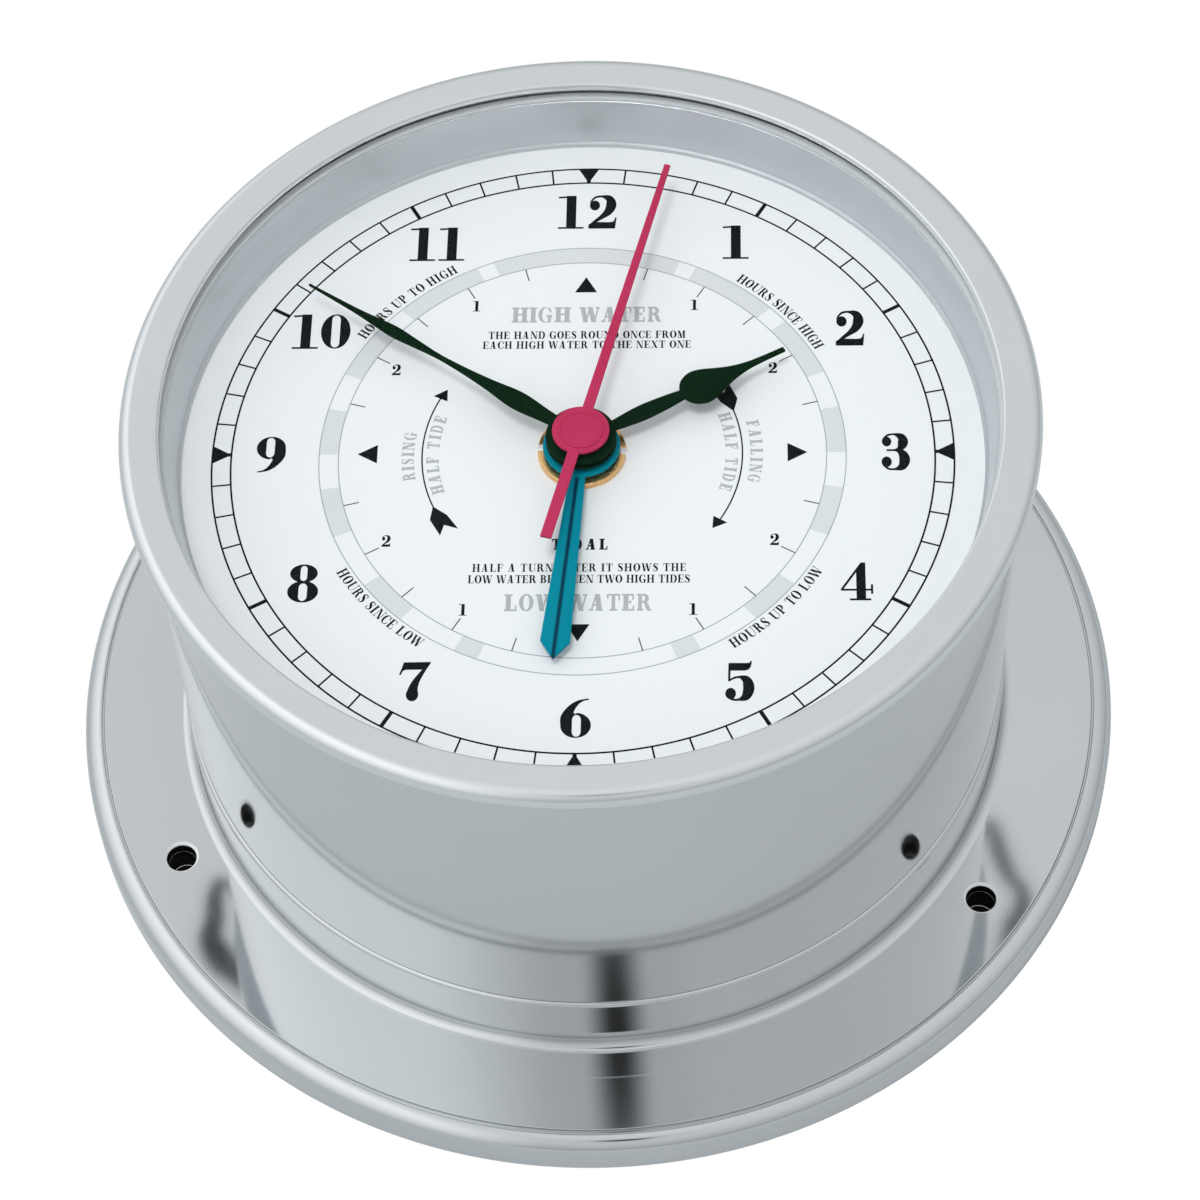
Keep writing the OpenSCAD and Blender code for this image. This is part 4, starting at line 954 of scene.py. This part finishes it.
def write_round(sheet, text, height, length, r, clock, inward=False, face=PLAIN_TYPE):
    """Letters on an arc about the axis. inward puts their tops towards the axis."""
    side = -1 if inward else 1
    for letter, start, width in set_line(text, height, length, face):
        turn = clock + side * degrees((start + width / 2) / r)
        add_cells(sheet, face[letter][1], lambda p: at_clock(
            side * (p[0] * height * CONDENSED - width / 2), r + side * (p[1] - 0.5) * height, turn))


def arc_band(r_in, r_out, a_from, a_to, step=1.0):
    """Outline of a band round the axis between two clock angles."""
    count = max(2, ceil((a_to - a_from) / step))
    angles = [a_from + (a_to - a_from) * k / count for k in range(count + 1)]
    return [at_clock(0, r_out, a) for a in angles] + [at_clock(0, r_in, a) for a in reversed(angles)]


def ring_layers(r, width, steps=360):
    return [(1, circle(0, 0, r + width / 2, steps)), (-1, circle(0, 0, r - width / 2, steps))]


def printed(name, cells, finish, top=PRINT_TOP):
    """A thin inlay of ink in the dial's face."""
    made = smooth(from_work(name, slab(*cells, PRINT_LOW, top), finish))
    return settle(made, "case", "dial_white")


def printed_row(name, layers, finish, count, step, top=PRINT_TOP):
    """The same mark of ink repeated clockwise about the axis."""
    made = with_tree(from_work(name, slab(*flat_cells(layers), PRINT_LOW, top)), ROUND_ROW,
                     Count=count, First=0.0, Step=radians(step), Finish=finish)
    return settle(smooth(made), "case", "dial_white")


TRACK_IN, TRACK_OUT = 47.0, 49.55
LINE_W, BAR_W, QUARTER_W = 0.25, 0.54, 2.9
printed("minute_outer_line", flat_cells(ring_layers(TRACK_OUT, LINE_W)), ink)
printed("minute_inner_line", flat_cells(ring_layers(TRACK_IN, LINE_W)), ink)
printed_row("minute_ticks", [(1, bar(-LINE_W / 2, TRACK_IN, LINE_W / 2, TRACK_OUT))], ink, 60, 6,
            top=PRINT_TOP - 0.003)
printed_row("five_minute_bars", [(1, bar(-BAR_W / 2, TRACK_IN, BAR_W / 2, TRACK_OUT))], ink, 12, 30,
            top=PRINT_TOP + 0.002)
printed_row("quarter_marks", [(1, [(-QUARTER_W / 2, TRACK_OUT), (0, TRACK_IN), (QUARTER_W / 2, TRACK_OUT)])],
            ink, 4, 90, top=PRINT_TOP + 0.004)

NUMERAL_R, NUMERAL_H = 41.7, 5.95
LENGTH_SHARE = 0.97
NUMERAL_L = {"1": 4.2, "2": 4.05, "3": 3.9, "4": 4.2, "5": 3.9, "6": 3.95, "7": 4.05, "8": 4.05, "9": 3.95,
             "10": 8.15, "11": 7.85, "12": 8.55}
numerals = ([], [])
for hour in range(1, 13):
    text = str(hour)
    write(numerals, text, NUMERAL_H, NUMERAL_L[text] * LENGTH_SHARE, *at_clock(0, NUMERAL_R, 30 * hour))
printed("numerals", numerals, ink)

TIDE_IN, TIDE_OUT = 32.6, 35.2
TIDE_LINE = 0.13
printed("tide_ring_outer_line", flat_cells(ring_layers(TIDE_OUT, TIDE_LINE)), line_ink)
printed("tide_ring_inner_line", flat_cells(ring_layers(TIDE_IN, TIDE_LINE)), line_ink)
TIDE_BANDS = [(-21.5, 21.5), (25.5, 46), (51, 67.5), (77.5, 90), (99.5, 112.5), (127, 139), (153, 158.5)]
bands = [(1, arc_band(TIDE_IN, TIDE_OUT, a, b)) for a, b in TIDE_BANDS]
bands += [(1, arc_band(TIDE_IN, TIDE_OUT, -b, -a)) for a, b in TIDE_BANDS[1:]]
printed("tide_ring_bands", flat_cells(bands), grey_ink, PRINT_TOP - 0.004)
TICK_IN, TICK_W = 30.5, 0.14
tide_tick = [(-TICK_W / 2, TICK_IN), (TICK_W / 2, TICK_IN), (TICK_W / 2, TIDE_IN), (-TICK_W / 2, TIDE_IN)]
printed_row("tide_ticks", [(1, [at_clock(u, r, a) for u, r in tide_tick]) for a in range(15, 90, 15)],
            ink, 4, 90)
printed_row("tide_marks", [(1, [(-1.52, 27.4), (1.52, 27.4), (0, 30.05)])], ink, 4, 90)
hours_of_tide = ([], [])
for clock, digit in ((-61, "2"), (-30.8, "1"), (30.8, "1"), (61, "2"), (119, "2"), (149.2, "1"),
                     (210.8, "1"), (241, "2")):
    write(hours_of_tide, digit, 1.8, 1.15, *at_clock(0, 29.2, clock))
printed("tide_numerals", hours_of_tide, ink)

WATER_H, WORD_H, NOTE_H, ROUND_NOTE_H = 2.62, 1.66, 1.26, 1.48
legend = ([], [])
write(legend, "HIGH WATER", WATER_H, 20.6, 0.2, 23.5, BOLD_TYPE)
write(legend, "LOW WATER", WATER_H, 19.2, 0, -24.0, BOLD_TYPE)
for r, clock, word, length in ((23.3, 269, "RISING", 7.9), (20.0, 269.5, "HALF TIDE", 13.0),
                               (23.3, 89.5, "FALLING", 10.2), (20.0, 89.5, "HALF TIDE", 13.0)):
    write_round(legend, word, WORD_H, length, r, clock, face=BOLD_TYPE)
printed("grey_legends", legend, legend_ink)

notes = ([], [])
for text, length, x, y in (("THE HAND GOES ROUND ONCE FROM", 27.0, 0.3, 20.0),
                           ("EACH HIGH WATER TO THE NEXT ONE", 28.4, 0.3, 18.3),
                           ("HALF A TURN LATER IT SHOWS THE", 28.0, 0, -18.5),
                           ("LOW WATER BETWEEN TWO HIGH TIDES", 29.0, 0, -20.3)):
    write(notes, text, NOTE_H, length, x, y)
write(notes, "TIDAL", 1.75, 7.4, 0, -14.8, BOLD_TYPE)
for text, length, r, clock, inward in (("HOURS UP TO HIGH", 17.4, 36.5, 316.6, False),
                                       ("HOURS SINCE HIGH", 16.6, 36.5, 48.2, False),
                                       ("HOURS UP TO LOW", 16.6, 36.4, 134.0, True),
                                       ("HOURS SINCE LOW", 16.2, 36.4, 226.3, True)):
    write_round(notes, text, ROUND_NOTE_H, length, r, clock, inward)
printed("black_notes", notes, ink)

ARROW_R, ARROW_W = 21.4, 0.2
arrow = [(1, arc_band(ARROW_R - ARROW_W / 2, ARROW_R + ARROW_W / 2, 246, 296))]
arrow += [(1, [at_clock(0, ARROW_R + off, a) for off, a in loop]) for loop in (
    ((-1.05, 295.5), (1.05, 295.5), (-0.1, 300.3)),
    ((0, 246.3), (1.25, 241.5), (1.35, 234.2), (0, 237.2), (-1.2, 232.8), (-1.1, 240.5)))]
printed_row("tide_arrows", arrow, ink, 2, 185)

# ---------------------------------------------------------------- nut and hands
NUT_IN, NUT_R, NUT_TOP = 4.52, 5.9, 63.4
nut = turned("dial_nut", [(NUT_IN, DIAL_Z, 0), (NUT_R, DIAL_Z, 0.05), (NUT_R, NUT_TOP, 0.18),
                          (NUT_IN, NUT_TOP, 0.12)], brass, segments=128)
BOX_SIDES = [(3, 2, 1, 0), (4, 5, 6, 7), (0, 1, 5, 4), (1, 2, 6, 5), (2, 3, 7, 6), (3, 0, 4, 7)]
for k in range(4):
    turn = Matrix.Rotation(radians(90 * k - 3), 4, "Z")
    corners = [turn @ (Vector((x, y, z)) * MM) for z in (DIAL_Z - 0.5, NUT_TOP + 0.6)
               for x, y in bar(5.2, -0.5, 7, 0.5)]
    cut(nut, link("cutter", mesh_of("cutter", corners, BOX_SIDES)))
second_finish(nut, nut_face, lambda face: face.normal.z > 0.7)
settle(nut, "case", "brass", "bush_nut")


def hub(r, hole=0.0):
    """Round hub of a hand, and the hole through it."""
    return [(1, circle(0, 0, r, 96))] + ([(-1, circle(0, 0, hole))] if hole else [])


TIDE_OUTLINE = [(-0.9, 0), (0.9, 0), (1.94, 31.3), (0, 34), (-1.94, 31.3)]
tide_hand = sheet_hand("tide_hand_sheet", [(1, TIDE_OUTLINE)] + hub(5.15, 3.3), TIDE_Z, teal, TIDE_AT)
settle(tide_hand, "tide", "teal_paint", "tide_hand")

HOUR_STEM = [(3.5, 0.6), (5.5, 0.85), (9, 1.18), (12.5, 1.05), (15.6, 0.72)]
HOUR_HEART = [(15.2, 0.3), (15.5, 1.2), (16.3, 2.15), (17.8, 2.75), (19.4, 2.5), (21.2, 1.75),
              (23.2, 1.0), (25.4, 0.55), (27.6, 0.4), (31, 0.34)]
hour_hand = sheet_hand("hour_hand_sheet", [
    (1, both_sides([(0, 0.6)] + curve(HOUR_STEM))), (1, both_sides(curve(HOUR_HEART)))] + hub(4.7, 2.4),
    HOUR_Z, hand_dark, HOUR_AT)
settle(hour_hand, "hours", "dark_paint", "hour_hand")

MINUTE_SHAPE = [(3.5, 0.8), (6, 1.0), (10.5, 1.4), (15, 0.85), (19, 0.5), (23.5, 0.34), (27.5, 0.6),
                (31, 0.86), (34, 0.66), (38, 0.34), (45.8, 0.12)]
minute_hand = sheet_hand("minute_hand_sheet", [
    (1, both_sides([(0, 0.8)] + curve(MINUTE_SHAPE)))] + hub(4.7, 1.5), MINUTE_Z, hand_dark, MINUTE_AT)
settle(minute_hand, "minutes", "dark_paint", "minute_hand")

SECOND_OUTLINE = [(-0.74, -17.7), (0.74, -17.7), (0.74, 0), (0.42, 47.1), (-0.42, 47.1), (-0.74, 0)]
second_hand = sheet_hand("second_hand_sheet", [(1, SECOND_OUTLINE)] + hub(3.8), SECOND_Z, crimson, SECOND_AT,
                         bevel=0.06)
settle(second_hand, "seconds", "crimson_paint", "second_hand")
CAP_LOW, CAP_FACE, CAP_RIM = 67.75, 67.9, 67.98
cap = turned("second_hand_cap", [
    (0, CAP_LOW, 0), (3.05, CAP_LOW, 0), (3.05, CAP_RIM, 0.12), (2.7, CAP_RIM, 0.1), (2.6, CAP_FACE, 0.1),
    (0, CAP_FACE, 0)], crimson, segments=96)
settle(cap, "seconds", "crimson_paint")
BOSS_IN, BOSS_R, BOSS_LOW, BOSS_TOP = 0.75, 1.3, 66.8, 67.42
boss = turned("second_hand_boss", [
    (BOSS_IN, BOSS_LOW, 0), (BOSS_R, BOSS_LOW, 0.1), (BOSS_R, BOSS_TOP, 0), (BOSS_IN, BOSS_TOP, 0)],
    crimson, segments=64)
settle(boss, "seconds", "crimson_paint")

# ---------------------------------------------------------------- pieces seen from behind
for node, name, body, slot_name, finish, width in (
        ("movement_front_case", "movement_front_shell", "case", "black_plastic", black_case, 0.5),
        ("movement_rear_cover", "movement_back_shell", "case", "black_plastic", black_case, 0.35),
        ("battery", "battery_cell", "case", "battery_wrap", wrap, 0.3),
        ("setting_knob", "setting_wheel", "setting", "white_plastic", white, 0.15)):
    made = softened(node, name, width)
    made.data.materials.append(finish)
    settle(made, body, slot_name)

# ---------------------------------------------------------------- camera, stage and light
VIEW_TURN = 4.0
camera = link("camera", bpy.data.cameras.new("camera"))
scene.camera = camera
camera.data.lens = 110.74
camera.data.sensor_width = 36
camera.data.clip_start = 0.01


def aim(distance, elevation, pan, tilt, roll):
    """Puts the camera at that distance and height over the axis, and turns it off the axis a little."""
    pan, tilt, roll, elevation = (radians(a) for a in (pan, tilt, roll, elevation))
    ahead = Vector((sin(pan) * cos(tilt), cos(pan) * cos(tilt), -sin(tilt)))
    right = Vector((cos(pan), -sin(pan), 0))
    down = ahead.cross(right)
    side = cos(roll) * right + sin(roll) * down
    drop = cos(roll) * down - sin(roll) * right
    turn = Matrix((side, -drop, -ahead)).transposed().to_4x4()
    place = Matrix.Translation(Vector((0, -distance * cos(elevation), distance * sin(elevation))) * MM)
    camera.matrix_world = Matrix.Rotation(radians(VIEW_TURN), 4, "Z") @ place @ turn


aim(distance=545, elevation=57.64, pan=0.247, tilt=56.03, roll=3.32)


def stage_material(name, colour, glow=0.0, faded=None):
    """Plain matt finish of the stage. faded gives the material's cover from a node tree, 0 to 1."""
    made, tree, shader = blank(name)
    with_values(shader, Base_Color=(*colour, 1), Roughness=0.9, Specular_IOR_Level=0.0,
                Emission_Color=(*colour, 1), Emission_Strength=glow)
    if faded:
        covered(tree, faded(tree), add(tree, "ShaderNodeBsdfTransparent"), shader)
    return made


def from_above(tree):
    return minus(tree, 1.0, add(tree, "ShaderNodeNewGeometry").outputs["Backfacing"])


def above_but_not_to_camera(tree):
    seen = add(tree, "ShaderNodeLightPath").outputs["Is Camera Ray"]
    return times(tree, from_above(tree), minus(tree, 1.0, seen))


def soft_round(tree):
    """Dense at the middle of a card and clear at its rim, in two steps."""
    place = object_place(tree)
    far = add(tree, "ShaderNodeVectorMath", operation="LENGTH", inputs={0: place}).outputs["Value"]
    core = ramp(tree, far, 0.04, 0.36, 0.86, 0.0, "SMOOTHSTEP")
    halo = ramp(tree, far, 0.30, 1.0, 0.10, 0.0, "SMOOTHSTEP")
    return plus(tree, core, halo)


def on_stage(name, verts, faces, material):
    """A piece of the stage from vertices in millimetres."""
    made = link(name, mesh_of(name, [Vector(v) * MM for v in verts], faces))
    made.data.materials.append(material)
    return made


def only_mirrored(made):
    """Shows the piece in reflections alone."""
    made.visible_camera = False
    made.visible_shadow = False
    made.visible_diffuse = False


FLOOR_IN, FLOOR_OUT, FLOOR_Z, FLOOR_SIDES = 74.2, 3000, -0.3, 96
on_stage("floor", [(x, y, FLOOR_Z) for r in (FLOOR_IN, FLOOR_OUT) for x, y in circle(0, 0, r, FLOOR_SIDES)],
         [(k, FLOOR_SIDES + k, FLOOR_SIDES + (k + 1) % FLOOR_SIDES, (k + 1) % FLOOR_SIDES)
          for k in range(FLOOR_SIDES)],
         stage_material("pale_floor", (0.52, 0.54, 0.55), 0.12, above_but_not_to_camera))
# Black discs just under the screw holes: painted shade, where the floor beneath the flange would lie in
# shadow.
painted_hole_shade = stage_material("painted_hole_shade", (0.01, 0.01, 0.01), 0.0, from_above)
for k, at in enumerate(HOLES):
    rim = [(x, y, -0.05) for x, y in circle(*at, HOLE_R)]
    on_stage(f"hole_shade_{k}", rim, [tuple(range(len(rim)))], painted_hole_shade)


def card(name, centre, size, material):
    """A flat card that faces the clock, sized by its own matrix. It shows only in reflections."""
    made = on_stage(name, [(x / MM, y / MM, 0) for x, y in bar(-1, -1, 1, 1)], [(0, 1, 2, 3)], material)
    centre = Vector(centre) * MM
    z = (Vector((0, 0, 0.03)) - centre).normalized()
    x = Vector((0, 0, 1)).cross(z).normalized()
    turn = Matrix((x, z.cross(x), z)).transposed().to_4x4()
    made.matrix_world = Matrix.Translation(centre) @ turn @ Matrix.Diagonal(
        (size[0] * MM / 2, size[1] * MM / 2, 1, 1))
    only_mirrored(made)


eye = camera.matrix_world.translation / MM
card("camera_body", eye * 1.04, (300, 470),
     stage_material("dark_cloth", (0.012, 0.012, 0.012), 0.0, soft_round))


def dark_strip(name, hole, points, reach=420):
    """A dark wavy strip hung where the flange mirrors it beside that hole, in mm right and up."""
    centre = Vector((*HOLES[hole], FLANGE_T))
    view = Matrix.Rotation(radians(VIEW_TURN), 3, "Z")
    flat, cells = flat_cells([(1, brush(points))])
    verts = []
    for x, y in flat:
        spot = centre + view @ Vector((x, y, 0))
        ray = (spot - eye).normalized()
        verts.append(spot + reach * Vector((ray.x, ray.y, -ray.z)))
    only_mirrored(on_stage(name, verts, cells, stage_material(name, (0.035, 0.037, 0.04))))


dark_strip("strip_right", 2, [
    (0.2, 8.6, 0.15), (1.2, 10.6, 0.5), (2.7, 12.0, 0.8), (3.3, 7.5, 1.2), (4.4, 3.0, 1.1), (5.9, 0.7, 1.0),
    (5.5, -2.5, 1.4), (3.9, -5.2, 1.6), (1.8, -8.5, 0.7), (-1.1, -13, 0.2)])
dark_strip("strip_left", 1, [
    (8.4, -7.6, 0.15), (6.6, -5.0, 0.5), (5.3, -4.6, 0.8), (4.8, -7.4, 1.2), (4.8, -10.6, 1.4),
    (4.2, -13.6, 1.7), (5.9, -17.2, 2.1), (8.2, -20.4, 1.2), (10.2, -24.0, 0.2)])


def lamp(name, place, size, power, colour):
    """A round soft lamp that points at the clock and leaves no mirror image."""
    data = bpy.data.lights.new(name, "AREA")
    data.shape = "DISK"
    data.size = size
    data.energy = power
    data.color = colour
    made = link(name, data)
    made.location = place
    made.visible_glossy = False
    made.rotation_euler = (-Vector(place)).to_track_quat("-Z", "Y").to_euler()


lamp("key", place=(-0.17, -0.20, 1.34), size=0.40, power=5.5, colour=(1.0, 0.998, 0.99))


def sky():
    """Pale tent all round, darker low down and brighter to the west, and plain white to the camera."""
    world = bpy.data.worlds.new("tent")
    scene.world = world
    world.use_nodes = True
    tree = world.node_tree
    back = tree.nodes["Background"]
    way = add(tree, "ShaderNodeTexCoord").outputs["Generated"]
    parts = xyz(tree, way)
    shade = add(tree, "ShaderNodeValToRGB", inputs={0: spread(tree, parts[2], 0.0, 1.0)})
    shade.color_ramp.elements[0].color = (0.45, 0.465, 0.475, 1)
    shade.color_ramp.elements[1].color = (0.84, 0.86, 0.87, 1)
    west = ramp(tree, parts[0], -0.12, -0.42, 1.0, 1.55, "SMOOTHSTEP")
    tree.links.new(shade.outputs[0], back.inputs["Color"])
    tree.links.new(west, back.inputs["Strength"])
    path = add(tree, "ShaderNodeLightPath").outputs["Is Camera Ray"]
    plain = add(tree, "ShaderNodeBackground", inputs={"Color": (1, 1, 1, 1), "Strength": 1.0})
    mix = add(tree, "ShaderNodeMixShader", inputs={0: path, 1: back.outputs[0], 2: plain.outputs[0]})
    tree.links.new(mix.outputs[0], tree.nodes["World Output"].inputs["Surface"])


sky()
scene.view_settings.view_transform = "Standard"
scene.view_settings.look = "None"
